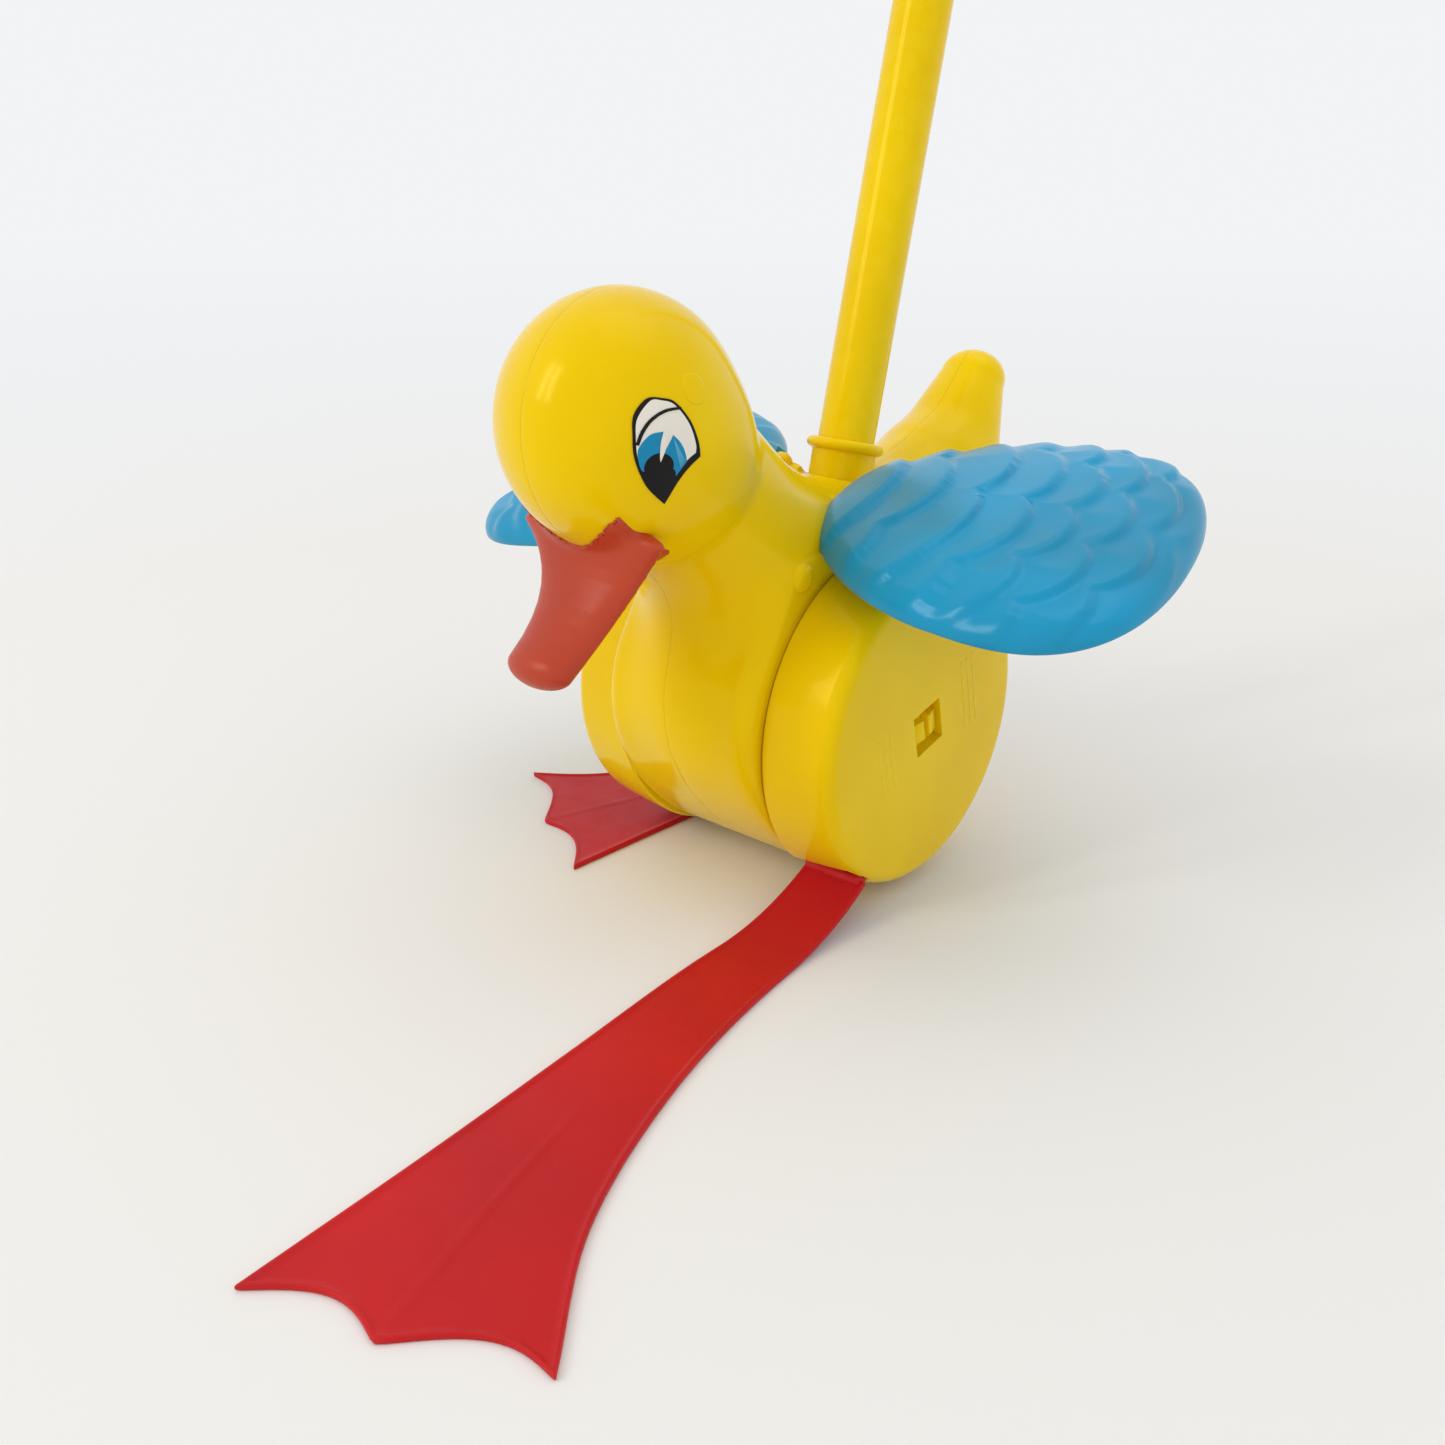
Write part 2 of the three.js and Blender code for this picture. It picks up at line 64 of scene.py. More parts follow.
def place(points):
    """Millimetres from the axle to metres in the frame."""
    return np.asarray(points, float).reshape(-1, 3) * MM + np.array(AXLE)


# ---- camera ----
CAMERA_FROM_AXLE = (214.5, -278.7, 134.0)
CAMERA_YAW = 40.95
CAMERA_PITCH = 22.36
CAMERA_LENS = 33.23

camera = bpy.data.objects.new("camera", bpy.data.cameras.new("camera"))
camera.data.lens = CAMERA_LENS
camera.data.sensor_width = 36.0
camera.data.clip_start = 0.01
camera.data.dof.use_dof = False
camera.matrix_world = (
    Matrix.Translation(Vector(place(CAMERA_FROM_AXLE)[0]))
    @ Matrix.Rotation(math.radians(CAMERA_YAW), 4, "Z")
    @ Matrix.Rotation(math.radians(90 - CAMERA_PITCH), 4, "X")
)
bpy.context.scene.collection.objects.link(camera)
bpy.context.scene.camera = camera


# ---- materials ----
def new_material(name):
    material = bpy.data.materials.new(name)
    material.use_nodes = True
    tree = material.node_tree
    return material, tree, tree.nodes["Principled BSDF"]


def feed(tree, value, socket):
    """Gives an input its value, from another node's output, a number or a colour."""
    if isinstance(value, bpy.types.NodeSocket):
        tree.links.new(value, socket)
    elif isinstance(value, float):
        socket.default_value = value
    else:
        socket.default_value = (*value, 1.0)


def noise(tree, coordinates, scale, detail, roughness=0.5, stretch=None):
    texture = tree.nodes.new("ShaderNodeTexNoise")
    for name, value in (("Scale", scale), ("Detail", detail), ("Roughness", roughness)):
        texture.inputs[name].default_value = value
    if stretch:
        mapping = tree.nodes.new("ShaderNodeMapping")
        mapping.inputs["Scale"].default_value = stretch
        tree.links.new(coordinates, mapping.inputs["Vector"])
        coordinates = mapping.outputs["Vector"]
    tree.links.new(coordinates, texture.inputs["Vector"])
    return texture.outputs["Fac"]


def map_range(tree, value, low, high, to_low, to_high):
    node = tree.nodes.new("ShaderNodeMapRange")
    limits = {"From Min": low, "From Max": high, "To Min": to_low, "To Max": to_high}
    for name, limit in limits.items():
        node.inputs[name].default_value = limit
    tree.links.new(value, node.inputs["Value"])
    return node.outputs["Result"]


def mix_colour(tree, factor, first, second):
    node = tree.nodes.new("ShaderNodeMix")
    node.data_type = "RGBA"
    for value, socket in zip((factor, first, second), (0, 6, 7)):
        feed(tree, value, node.inputs[socket])
    return node.outputs[2]


def maths(tree, operation, first, second):
    node = tree.nodes.new("ShaderNodeMath")
    node.operation = operation
    feed(tree, first, node.inputs[0])
    feed(tree, second, node.inputs[1])
    return node.outputs[0]


def bump(tree, height, strength, distance, under=None):
    """Normal of a bumped surface, over another normal when one is given."""
    node = tree.nodes.new("ShaderNodeBump")
    node.inputs["Strength"].default_value = strength
    node.inputs["Distance"].default_value = distance
    tree.links.new(height, node.inputs["Height"])
    if under:
        tree.links.new(under, node.inputs["Normal"])
    return node.outputs["Normal"]


def hairlines(tree, spot, amount):
    """Fine scratches in two directions, in patches."""
    one = noise(tree, spot, 1.0, 2.0, 0.6, (2600.0, 90.0, 260.0))
    other = noise(tree, spot, 1.0, 2.0, 0.6, (160.0, 2300.0, 700.0))
    lines = maths(tree, "MAXIMUM", map_range(tree, one, 0.66, 0.74, 0.0, 1.0),
                  map_range(tree, other, 0.68, 0.76, 0.0, 1.0))
    patches = map_range(tree, noise(tree, spot, 60.0, 3.0), 0.45, 0.62, 0.0, amount)
    return maths(tree, "MULTIPLY", lines, patches)


def moulded_plastic(name, colour, deep, gloss, grain=0.00002, soft=0.0, scuffs=0.5, worn=None,
                    shine=0.35, tint=(1.0, 1.0, 1.0)):
    """Injection-moulded plastic: slow colour drift, mould-polish waves, hairline scuffs, worn edges."""
    material, tree, shader = new_material(name)
    spot = tree.nodes.new("ShaderNodeTexCoord").outputs["Object"]
    drift = map_range(tree, noise(tree, spot, 22.0, 2.0), 0.35, 0.65, 0.0, 1.0)
    tone = mix_colour(tree, drift, colour, deep)
    pointed = tree.nodes.new("ShaderNodeNewGeometry").outputs["Pointiness"]
    edge = map_range(tree, pointed, 0.53, 0.62, 0.0, 0.35)
    rub = map_range(tree, noise(tree, spot, 240.0, 4.0), 0.42, 0.6, 0.0, 1.0)
    tone = mix_colour(tree, maths(tree, "MULTIPLY", edge, rub), tone, worn or colour)
    scuff = hairlines(tree, spot, scuffs)
    haze = map_range(tree, noise(tree, spot, 95.0, 5.0, 0.65), 0.3, 0.75, gloss * 0.85, gloss * 1.3)
    rough = maths(tree, "ADD", haze, maths(tree, "MULTIPLY", scuff, 0.25))
    waves = bump(tree, noise(tree, spot, 150.0, 2.0, 0.4), 0.35, 0.00012)
    skin = maths(tree, "SUBTRACT", noise(tree, spot, 1500.0, 2.0), maths(tree, "MULTIPLY", scuff, 0.8))
    normal = bump(tree, skin, 0.5, grain, waves)
    values = {"Base Color": tone, "Roughness": rough, "Normal": normal, "IOR": 1.49,
              "Specular IOR Level": shine, "Specular Tint": tint}
    for socket, value in values.items():
        feed(tree, value, shader.inputs[socket])
    if soft:
        shader.inputs["Subsurface Weight"].default_value = soft
        shader.inputs["Subsurface Radius"].default_value = (0.0016, 0.0009, 0.0003)
        shader.inputs["Subsurface Scale"].default_value = 1.0
    return material


YELLOW = moulded_plastic("yellow_plastic", (0.88, 0.60, 0.001), (0.82, 0.54, 0.001), 0.16, soft=0.08,
                         worn=(0.92, 0.70, 0.03), shine=0.33, tint=(1.0, 0.82, 0.18))
BLUE = moulded_plastic("blue_plastic", (0.001, 0.305, 0.55), (0.005, 0.24, 0.41), 0.22, grain=0.00003,
                       scuffs=0.7, worn=(0.08, 0.34, 0.50), tint=(0.8, 0.95, 1.0))
RED = moulded_plastic("red_plastic", (0.56, 0.010, 0.012), (0.48, 0.009, 0.012), 0.42, grain=0.00006,
                      soft=0.05, scuffs=0.6, worn=(0.62, 0.07, 0.06), shine=0.25, tint=(1.0, 0.7, 0.7))
BEAK = moulded_plastic("beak_plastic", (0.53, 0.060, 0.018), (0.45, 0.045, 0.016), 0.33, grain=0.00004,
                       soft=0.05, scuffs=1.0, worn=(0.64, 0.18, 0.11), tint=(1.0, 0.8, 0.75))
EYE_COLOURS = [
    ("eye_black", (0.004, 0.003, 0.004), (0.006, 0.005, 0.006)),
    ("eye_cream", (0.84, 0.79, 0.69), (0.80, 0.75, 0.65)),
    ("eye_blue", (0.004, 0.25, 0.47), (0.006, 0.23, 0.43)),
    ("eye_streak", (0.09, 0.42, 0.63), (0.08, 0.40, 0.60)),
]
EYE_INKS = [moulded_plastic(*ink, 0.18, scuffs=0.3, shine=0.2) for ink in EYE_COLOURS]
BLACK, CREAM, IRIS, STREAK = range(len(EYE_INKS))


# ---- mesh helpers ----
def make_object(name, points, faces, materials, body, replaces=(), sharp=0,
                outward=True):
    """A smooth-shaded piece, from millimetres, that rides on a body."""
    mesh = bpy.data.meshes.new(name)
    mesh.from_pydata([tuple(v) for v in place(points)], [], [tuple(int(i) for i in f) for f in faces])
    mesh.validate()
    for material in materials:
        mesh.materials.append(material)
    mesh.polygons.foreach_set("use_smooth", [True] * len(mesh.polygons))
    piece = bpy.data.objects.new(name, mesh)
    bpy.context.scene.collection.objects.link(piece)
    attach(piece, body)
    if replaces:
        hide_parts(*replaces)
    if outward:
        turn_outward(piece)
    if sharp:
        sharpen(piece, sharp)
    return piece


def about_x(points, turn):
    """Points turned about the x axis."""
    x, y, z = np.asarray(points, float).T
    c, s = math.cos(turn), math.sin(turn)
    return np.stack([x, y * c - z * s, y * s + z * c], axis=1)


def band(low, high, count):
    """Faces between two closed rings of points that start at these numbers."""
    return [[low + k, low + (k + 1) % count, high + (k + 1) % count, high + k] for k in range(count)]


def plate(outline, levels):
    """A flat form: an outline in x and z, between two levels in y."""
    n = len(outline)
    vertices = np.array([(a, level, b) for level in levels for a, b in outline])
    return vertices, [list(range(n)), list(range(n, 2 * n))[::-1]] + band(0, n, n)


def hermite(start, end, leave, arrive, w):
    """Point at share w of a cubic with these ends and end slopes."""
    return ((2 * w ** 3 - 3 * w ** 2 + 1) * start + (w ** 3 - 2 * w ** 2 + w) * leave
            + (3 * w ** 2 - 2 * w ** 3) * end + (w ** 3 - w ** 2) * arrive)


def bisect(inside, low, high):
    """Where a test on numbers stops being true between low and high."""
    for _ in range(24):
        middle = (low + high) / 2
        within = inside(middle)
        low, high = np.where(within, middle, low), np.where(within, high, middle)
    return low


def baked(piece):
    """Makes a piece's modifiers part of its mesh."""
    graph = bpy.context.evaluated_depsgraph_get()
    result = bpy.data.meshes.new_from_object(piece.evaluated_get(graph), depsgraph=graph)
    piece.modifiers.clear()
    piece.data = result


def turn_outward(piece, merge=True):
    """Turns the faces of a closed mesh outward, after merging the points that coincide."""
    mesh = bmesh.new()
    mesh.from_mesh(piece.data)
    if merge:
        bmesh.ops.remove_doubles(mesh, verts=mesh.verts, dist=1e-6)
    bmesh.ops.recalc_face_normals(mesh, faces=mesh.faces)
    mesh.to_mesh(piece.data)
    mesh.free()


def sharpen(piece, degrees):
    """Marks the edges that turn more than this as sharp."""
    mesh = bmesh.new()
    mesh.from_mesh(piece.data)
    for edge in mesh.edges:
        edge.smooth = len(edge.link_faces) == 2 and edge.calc_face_angle(0.0) < math.radians(degrees)
    mesh.to_mesh(piece.data)
    mesh.free()


def lathe(profile, sides=96, closed=False):
    """Turned mesh about +Z from (radius, height) points. Points on the axis become one vertex."""
    vertices, rings, faces = [], [], []
    turns = [2 * math.pi * i / sides for i in range(sides)]
    for radius, height in profile:
        start = len(vertices)
        if radius < 1e-6:
            rings.append([start] * sides)
            vertices.append((0.0, 0.0, height))
        else:
            rings.append(list(range(start, start + sides)))
            vertices += [(radius * math.cos(a), radius * math.sin(a), height) for a in turns]
    for low, high in zip(rings, rings[1:] + rings[:closed]):
        for i in range(sides):
            j = (i + 1) % sides
            face = list(dict.fromkeys((low[i], low[j], high[j], high[i])))
            if len(face) > 2:
                faces.append(face)
    return np.array(vertices), faces


def fillet(centre, radius, start, end, steps=6):
    """Arc points of a profile, angles in degrees from the +radius direction."""
    turns = [math.radians(start + (end - start) * i / steps) for i in range(steps + 1)]
    return [(centre[0] + radius * math.cos(t), centre[1] + radius * math.sin(t)) for t in turns]


def join_parts(parts):
    """Several (vertices, faces) as one."""
    vertices, faces = [], []
    for part_vertices, part_faces in parts:
        start = sum(len(v) for v in vertices)
        vertices.append(np.asarray(part_vertices))
        faces += [[start + i for i in face] for face in part_faces]
    return np.concatenate(vertices), faces


# ---- smooth solids from a field ----
def iso_surface(field, low, high, step):
    """Mesh of field = 0 (negative inside), by surface nets, with every vertex moved onto the surface."""
    axes = [np.arange(a, b + step, step) for a, b in zip(low, high)]
    values = np.empty([len(a) for a in axes])
    plane_y, plane_z = np.meshgrid(axes[1], axes[2], indexing="ij")
    for i, x in enumerate(axes[0]):
        values[i] = field(np.full_like(plane_y, x), plane_y, plane_z)
    inside = values < 0
    shape = tuple(n - 1 for n in values.shape)
    total = np.zeros(shape + (3,))
    count = np.zeros(shape)
    corner = lambda grid, o: grid[tuple(slice(o[k], o[k] + shape[k]) for k in range(3))]
    for axis in range(3):
        for start in np.ndindex(2, 2, 2):
            if start[axis]:
                continue
            end = [1 if k == axis else start[k] for k in range(3)]
            a, b = corner(values, start), corner(values, end)
            crosses = corner(inside, start) != corner(inside, end)
            t = np.where(crosses, a / np.where(crosses, a - b, 1.0), 0.0)
            for k in range(3):
                offset = start[k] + (t if k == axis else 0.0)
                total[..., k] += np.where(crosses, offset, 0.0)
            count += crosses
    active = count > 0
    index = -np.ones(shape, int)
    index[active] = np.arange(active.sum())
    cells = np.argwhere(active)
    points = cells + total[active] / count[active][:, None]
    points = points * step + np.array([a[0] for a in axes])
    faces = []
    for axis in range(3):
        one, two = [k for k in range(3) if k != axis]
        starts_inside = np.delete(inside, -1, axis)
        crossed = np.argwhere(starts_inside != np.delete(inside, 0, axis))
        for k in (one, two):
            crossed = crossed[(crossed[:, k] > 0) & (crossed[:, k] < shape[k])]
        corners = []
        for shift_one, shift_two in ((1, 1), (0, 1), (0, 0), (1, 0)):
            at = crossed.copy()
            at[:, one] -= shift_one
            at[:, two] -= shift_two
            corners.append(index[tuple(at.T)])
        quads = np.stack(corners, axis=1)
        outward = starts_inside[tuple(crossed.T)] == (axis != 1)
        faces += np.where(outward[:, None], quads, quads[:, ::-1]).tolist()
    for _ in range(4):
        points = points - pull(field, points, 0.6 * step)
    return points, faces


def pull(field, points, most):
    """The move that brings points onto field = 0, capped."""
    x, y, z = points.T
    reach = 0.02
    value = field(x, y, z)
    slope = np.stack([
        field(x + reach, y, z) - field(x - reach, y, z),
        field(x, y + reach, z) - field(x, y - reach, z),
        field(x, y, z + reach) - field(x, y, z - reach),
    ], axis=1) / (2 * reach)
    move = value[:, None] * slope / np.maximum((slope ** 2).sum(1), 0.05)[:, None]
    length = np.linalg.norm(move, axis=1)
    return move * np.minimum(1.0, most / np.maximum(length, 1e-9))[:, None]


def blend_min(a, b, k):
    h = np.maximum(k - np.abs(a - b), 0.0) / k
    return np.minimum(a, b) - h * h * k / 4


def blend_max(a, b, k):
    return -blend_min(-a, -b, k)


def ball(x, y, z, centre, radii):
    """Ellipsoid field."""
    u, v, w = x - centre[0], y - centre[1], z - centre[2]
    scaled = np.sqrt((u / radii[0]) ** 2 + (v / radii[1]) ** 2 + (w / radii[2]) ** 2)
    slope = np.sqrt((u / radii[0] ** 2) ** 2 + (v / radii[1] ** 2) ** 2 + (w / radii[2] ** 2) ** 2)
    return scaled * (scaled - 1.0) / np.maximum(slope, 1e-9)


def cone(x, y, z, start, end, r_start, r_end, wide=1.0):
    """Round-ended cone between two balls, made wide times as broad across."""
    x = x / wide
    a, b = np.array(start, float), np.array(end, float)
    d = b - a
    t = ((x - a[0]) * d[0] + (y - a[1]) * d[1] + (z - a[2]) * d[2]) / (d @ d)
    t = np.clip(t, 0.0, 1.0)
    away = np.sqrt((x - a[0] - t * d[0]) ** 2 + (y - a[1] - t * d[1]) ** 2 + (z - a[2] - t * d[2]) ** 2)
    return away - (r_start + t * (r_end - r_start))


def spoon(x, y, z, start, end):
    """Flat-topped cone between two stations given as (y, z, half thickness, half width)."""
    run = np.array([end[0] - start[0], end[1] - start[1]])
    t = np.clip(((y - start[0]) * run[0] + (z - start[1]) * run[1]) / (run @ run), 0.0, 1.0)
    thick = start[2] + t * (end[2] - start[2])
    wide = start[3] + t * (end[3] - start[3])
    away = np.hypot(y - start[0] - t * run[0], z - start[1] - t * run[1])
    across = np.abs(x) / wide
    return (np.hypot(across, away / thick) - 1.0) * thick


def barrel(x, y, z, centre, radius, half, edge):
    """Cylinder along x with rounded edges."""
    across = np.hypot(y - centre[0], z - centre[1]) - (radius - edge)
    side = np.abs(x) - (half - edge)
    outside = np.hypot(np.maximum(across, 0), np.maximum(side, 0))
    return outside + np.minimum(np.maximum(across, side), 0) - edge


# ---- body ----
HEAD = np.array([0.0, -65.3, 83.0])
HEAD_R = 29.0
DRUM_R = 43.6
DRUM_HALF = 24.05
FLANK = 24.3
WHEEL_GAP = 0.8
SOCKET_R = 10.2
SOCKET_HOLE = 9.0
EAR_AT = 7.8  # along the hinge, from its middle
EAR_HALF = 1.1
EAR_R = 2.9
SEAM_GAP = 0.07
SEAM_ROUND = 0.08
HINGE = np.array([16.4, 5.1, 57.3])
HINGE_PITCH = 0.263
STICK_FOOT = np.array([0.0, 16.8, 54.0])
STICK_TILT = math.radians(14)


def head_field(x, y, z):
    skull = ball(x, y, z, HEAD + (0, -1.3, 0), (26.3, HEAD_R, HEAD_R))
    cheeks = ball(x, y, z, HEAD + (0, 8.0, -9.5), (25.8, 24.8, 24.5))
    return blend_min(skull, cheeks, 6.0)


def torso_field(x, y, z):
    form = barrel(x, y, z, (0, 0), DRUM_R, DRUM_HALF, 2.2)
    added = [
        (barrel(x, y, z, (-18.6, 7), 33.0, DRUM_HALF, 5.0), 8.0),  # breast
        (ball(x, y, z, (0, -22, 13), (22.0, 30.5, 32)), 8.0),  # chest
        (cone(x, y, z, (0, -46, 66), (0, -19, 37), 21.5, 25.0), 12.0),  # neck
        (cone(x, y, z, (0, -14, 40), (0, 22, 38), 19.0, 18.0), 14.0),  # back
        (cone(x, y, z, (0, 18, 30), (0, 60, 51), 22.0, 15.0, 1.08), 14.0),  # rump
        (spoon(x, y, z, (66.0, 48.5, 16.5, 20.0), (84.2, 76.4, 8.6, 10.2)), 8.0),  # tail
    ]
    for part, softness in added:
        form = blend_min(form, part, softness)
    return blend_max(form, np.abs(x) - FLANK, 0.4)  # the feet pass beside the flanks


def along_stick(x, y, z):
    """Height along the stick and distance from its axis."""
    u, v, w = x - STICK_FOOT[0], y - STICK_FOOT[1], z - STICK_FOOT[2]
    height = v * math.sin(STICK_TILT) + w * math.cos(STICK_TILT)
    side = v * math.cos(STICK_TILT) - w * math.sin(STICK_TILT)
    return height, np.hypot(u, side)


def ears_field(x, y, z):
    """Two pairs of hinge ears on the back."""
    u = np.abs(x) - HINGE[0]
    v, w = y - HINGE[1], z - HINGE[2]
    run = v * math.cos(HINGE_PITCH) + w * math.sin(HINGE_PITCH)
    rise = w * math.cos(HINGE_PITCH) - v * math.sin(HINGE_PITCH)
    gap = np.abs(np.abs(run) - EAR_AT) - EAR_HALF
    stem = np.maximum(np.abs(u + 1.6 - 0.25 * np.minimum(rise, 0)) - 4.2, np.abs(rise + 9) - 12)
    round_top = np.where(rise > 0, np.hypot(u, rise) - EAR_R, np.abs(u + 1.4 - 0.3 * rise) - 4.2)
    profile = np.maximum(round_top, np.maximum(stem, -rise - 20))
    outside = np.hypot(np.maximum(gap, 0), np.maximum(profile, 0))
    return outside + np.minimum(np.maximum(gap, profile), 0) - 0.4


def body_field(x, y, z):
    form = blend_min(torso_field(x, y, z), head_field(x, y, z), 1.6)
    height, away = along_stick(x, y, z)
    socket = np.maximum(away - SOCKET_R, np.abs(height + 12) - 12.5)
    form = blend_min(form, socket, 5.0)
    form = blend_min(form, ears_field(x, y, z), 1.5)
    form = np.maximum(form, -np.maximum(away - SOCKET_HOLE, -height - 20))
    wheel_room = np.maximum(DRUM_HALF + 0.03 - np.abs(x), np.hypot(y, z) - (WHEEL_R + WHEEL_GAP))
    return blend_max(form, -wheel_room, 0.8)


SHOULDER_RIVET = (-29.7, 43.2)
HEAD_RIVET = (HEAD[1] - 3.5, HEAD[2] + 9.7)


def build_body():
    """The moulded body, cut into its two halves along the middle."""
    step = 1.0
    points, faces = iso_surface(body_field, (-31, -98, -46), (31, 98, 116), step)
    whole = bpy.data.meshes.new("whole_body")
    whole.from_pydata([tuple(p) for p in points], [], faces)
    for side, name in SIDES.items():
        mesh = bmesh.new()
        mesh.from_mesh(whole)
        bmesh.ops.bisect_plane(
            mesh, geom=mesh.verts[:] + mesh.edges[:] + mesh.faces[:], dist=1e-4,
            plane_co=(side * SEAM_GAP / 2, 0, 0), plane_no=(-side, 0, 0), clear_outer=True)
        rim = {v for e in mesh.edges if e.is_boundary for v in e.verts}
        mesh.normal_update()
        for vertex in rim:
            inward = Vector((0, vertex.normal.y, vertex.normal.z))
            vertex.co -= inward * SEAM_ROUND
        bmesh.ops.holes_fill(mesh, edges=[e for e in mesh.edges if e.is_boundary], sides=0)
        bmesh.ops.recalc_face_normals(mesh, faces=mesh.faces)
        vertices = [v.co[:] for v in mesh.verts]
        shell_faces = [[v.index for v in f.verts] for f in mesh.faces]
        mesh.free()
        make_object(f"{name}_shell", vertices, shell_faces, [YELLOW], "body", [f"{name}_body_shell"],
                    sharp=50, outward=False)


build_body()


# ---- wheels and axle ----
RECESS = 12.0
RECESS_DEPTH = 3.0
RECESS_TURN = 0.24
FOOT_ROOT_ANGLE = math.radians(35)
FOOT_ROOT_R = 44.0
FOOT_BAR_R = 2.0
AXLE_R = 4.0
AXLE_HALF = 24.0
HOOK_ROOT = AXLE_HALF - 1
HOOK_SLOT = 0.95
HOOK_BACK = 3.1
HOOK_LIP = 4.6
HOOK_HALF = 2.9
RIM_WALL = 2.2


def along_x(vertices, side=1):
    """Turned points about +Z laid along the axle, outward on that side."""
    v = np.asarray(vertices)
    return np.stack([side * v[:, 2], v[:, 1], v[:, 0]], axis=1)


def cut(piece, cutters):
    """Takes closed cutter meshes, given as (vertices, faces) in millimetres, out of a piece."""
    made = []
    for vertices, faces in cutters:
        mesh = bpy.data.meshes.new("cutter")
        mesh.from_pydata([tuple(v) for v in place(vertices)], [], faces)
        tool = bpy.data.objects.new("cutter", mesh)
        bpy.context.scene.collection.objects.link(tool)
        turn_outward(tool)
        modifier = piece.modifiers.new("cut", "BOOLEAN")
        modifier.operation = "DIFFERENCE"
        modifier.solver = "EXACT"
        modifier.object = tool
        made.append(tool)
    baked(piece)
    for tool in made:
        bpy.data.objects.remove(tool)


def block(size, centre, turn=0.0):
    """Box about the axle, turned about x."""
    signs = np.array([(sx, sy, sz) for sx in (-1, 1) for sy in (-1, 1) for sz in (-1, 1)])
    faces = [[0, 1, 3, 2], [4, 6, 7, 5], [0, 4, 5, 1], [2, 3, 7, 6], [0, 2, 6, 4], [1, 5, 7, 3]]
    return about_x(centre + signs * np.array(size) / 2, turn), faces


def bevel(piece, width):
    """Rounds the sharp edges of a piece."""
    modifier = piece.modifiers.new("round", "BEVEL")
    modifier.width = width * MM
    modifier.segments = 2
    modifier.limit_method = "ANGLE"
    modifier.angle_limit = math.radians(35)
    baked(piece)


def root_at(side):
    """Middle of a foot's root bar, as (y, z) from the axle."""
    reach = -side * FOOT_ROOT_R
    return reach * math.sin(FOOT_ROOT_ANGLE), reach * math.cos(FOOT_ROOT_ANGLE)


def build_wheel(side):
    face_r = WHEEL_R - 1.3
    round_r = 4.2
    profile = [(WHEEL_R - RIM_WALL, WHEEL_IN), (WHEEL_R - 0.5, WHEEL_IN), (WHEEL_R, WHEEL_IN + 0.5),
               (WHEEL_R - 0.45, WHEEL_IN + 7), (WHEEL_R - 0.9, WHEEL_IN + 12)]
    profile += fillet((face_r - round_r, WHEEL_OUT - round_r), round_r, 4, 90, 10)
    profile += [(face_r - 12, WHEEL_OUT), (20, WHEEL_OUT), (0, WHEEL_OUT), (0, WHEEL_OUT - 4)]
    profile += [(11, WHEEL_OUT - 4), (12, WHEEL_OUT - RIM_WALL), (face_r - 6, WHEEL_OUT - RIM_WALL),
                (face_r - 3, WHEEL_OUT - 5)]
    vertices, faces = lathe(profile, 192, closed=True)
    name = f"{SIDES[side]}_wheel"
    wheel = make_object(f"{name}_moulding", along_x(vertices, side), faces, [YELLOW], "wheels", [name])
    root = root_at(side)
    groove, groove_faces = lathe([(0, WHEEL_IN - 3), (FOOT_BAR_R + 0.3, WHEEL_IN - 3),
                                  (FOOT_BAR_R + 0.3, WHEEL_OUT - 1.2), (0, WHEEL_OUT - 1.2)], 32)
    groove = along_x(groove, side) + (0, *root)
    recess = block((2 * RECESS_DEPTH, RECESS, RECESS), (side * WHEEL_OUT, 0, 0), RECESS_TURN * side)
    # A shallow step ahead of the groove lets the strip lie against the rim when the foot swings up.
    middle = (WHEEL_IN + WHEEL_OUT) / 2 - 2.1
    step_size = (WHEEL_OUT - WHEEL_IN + 1.8, 8.0, 2.8)
    step, step_faces = block(step_size, (side * middle, -3.6, -0.1), -FOOT_ROOT_ANGLE)
    step = step + (0, *root)
    cut(wheel, [(groove, groove_faces), (step, step_faces), recess])
    sharpen(wheel, 28)
    build_relief(side)


def build_relief(side):
    """Plain raised lines on the outer face, on both sides of the recess."""
    parts = []
    for across, count, long in ((-19.0, 3, 17.0), (20.0, 3, 21.0)):
        for i in range(count):
            offset = across + (i - (count - 1) / 2) * 2.6
            shape = [(WHEEL_OUT + level, offset + u * 0.55 * shrink, v * (long / 2 - 0.3 * (1 - shrink)))
                     for level, shrink in ((-0.2, 1.0), (0.02, 1.0), (0.13, 0.4))
                     for u, v in ((-1, -1), (1, -1), (1, 1), (-1, 1))]
            faces = [[3, 2, 1, 0], [8, 9, 10, 11]] + band(0, 4, 4) + band(4, 8, 4)
            parts.append((about_x(shape, RECESS_TURN) * (side, side, 1), faces))
    vertices, faces = join_parts(parts)
    make_object(f"{SIDES[side]}_wheel_raised_lines", vertices, faces, [YELLOW], "wheels", sharp=30)


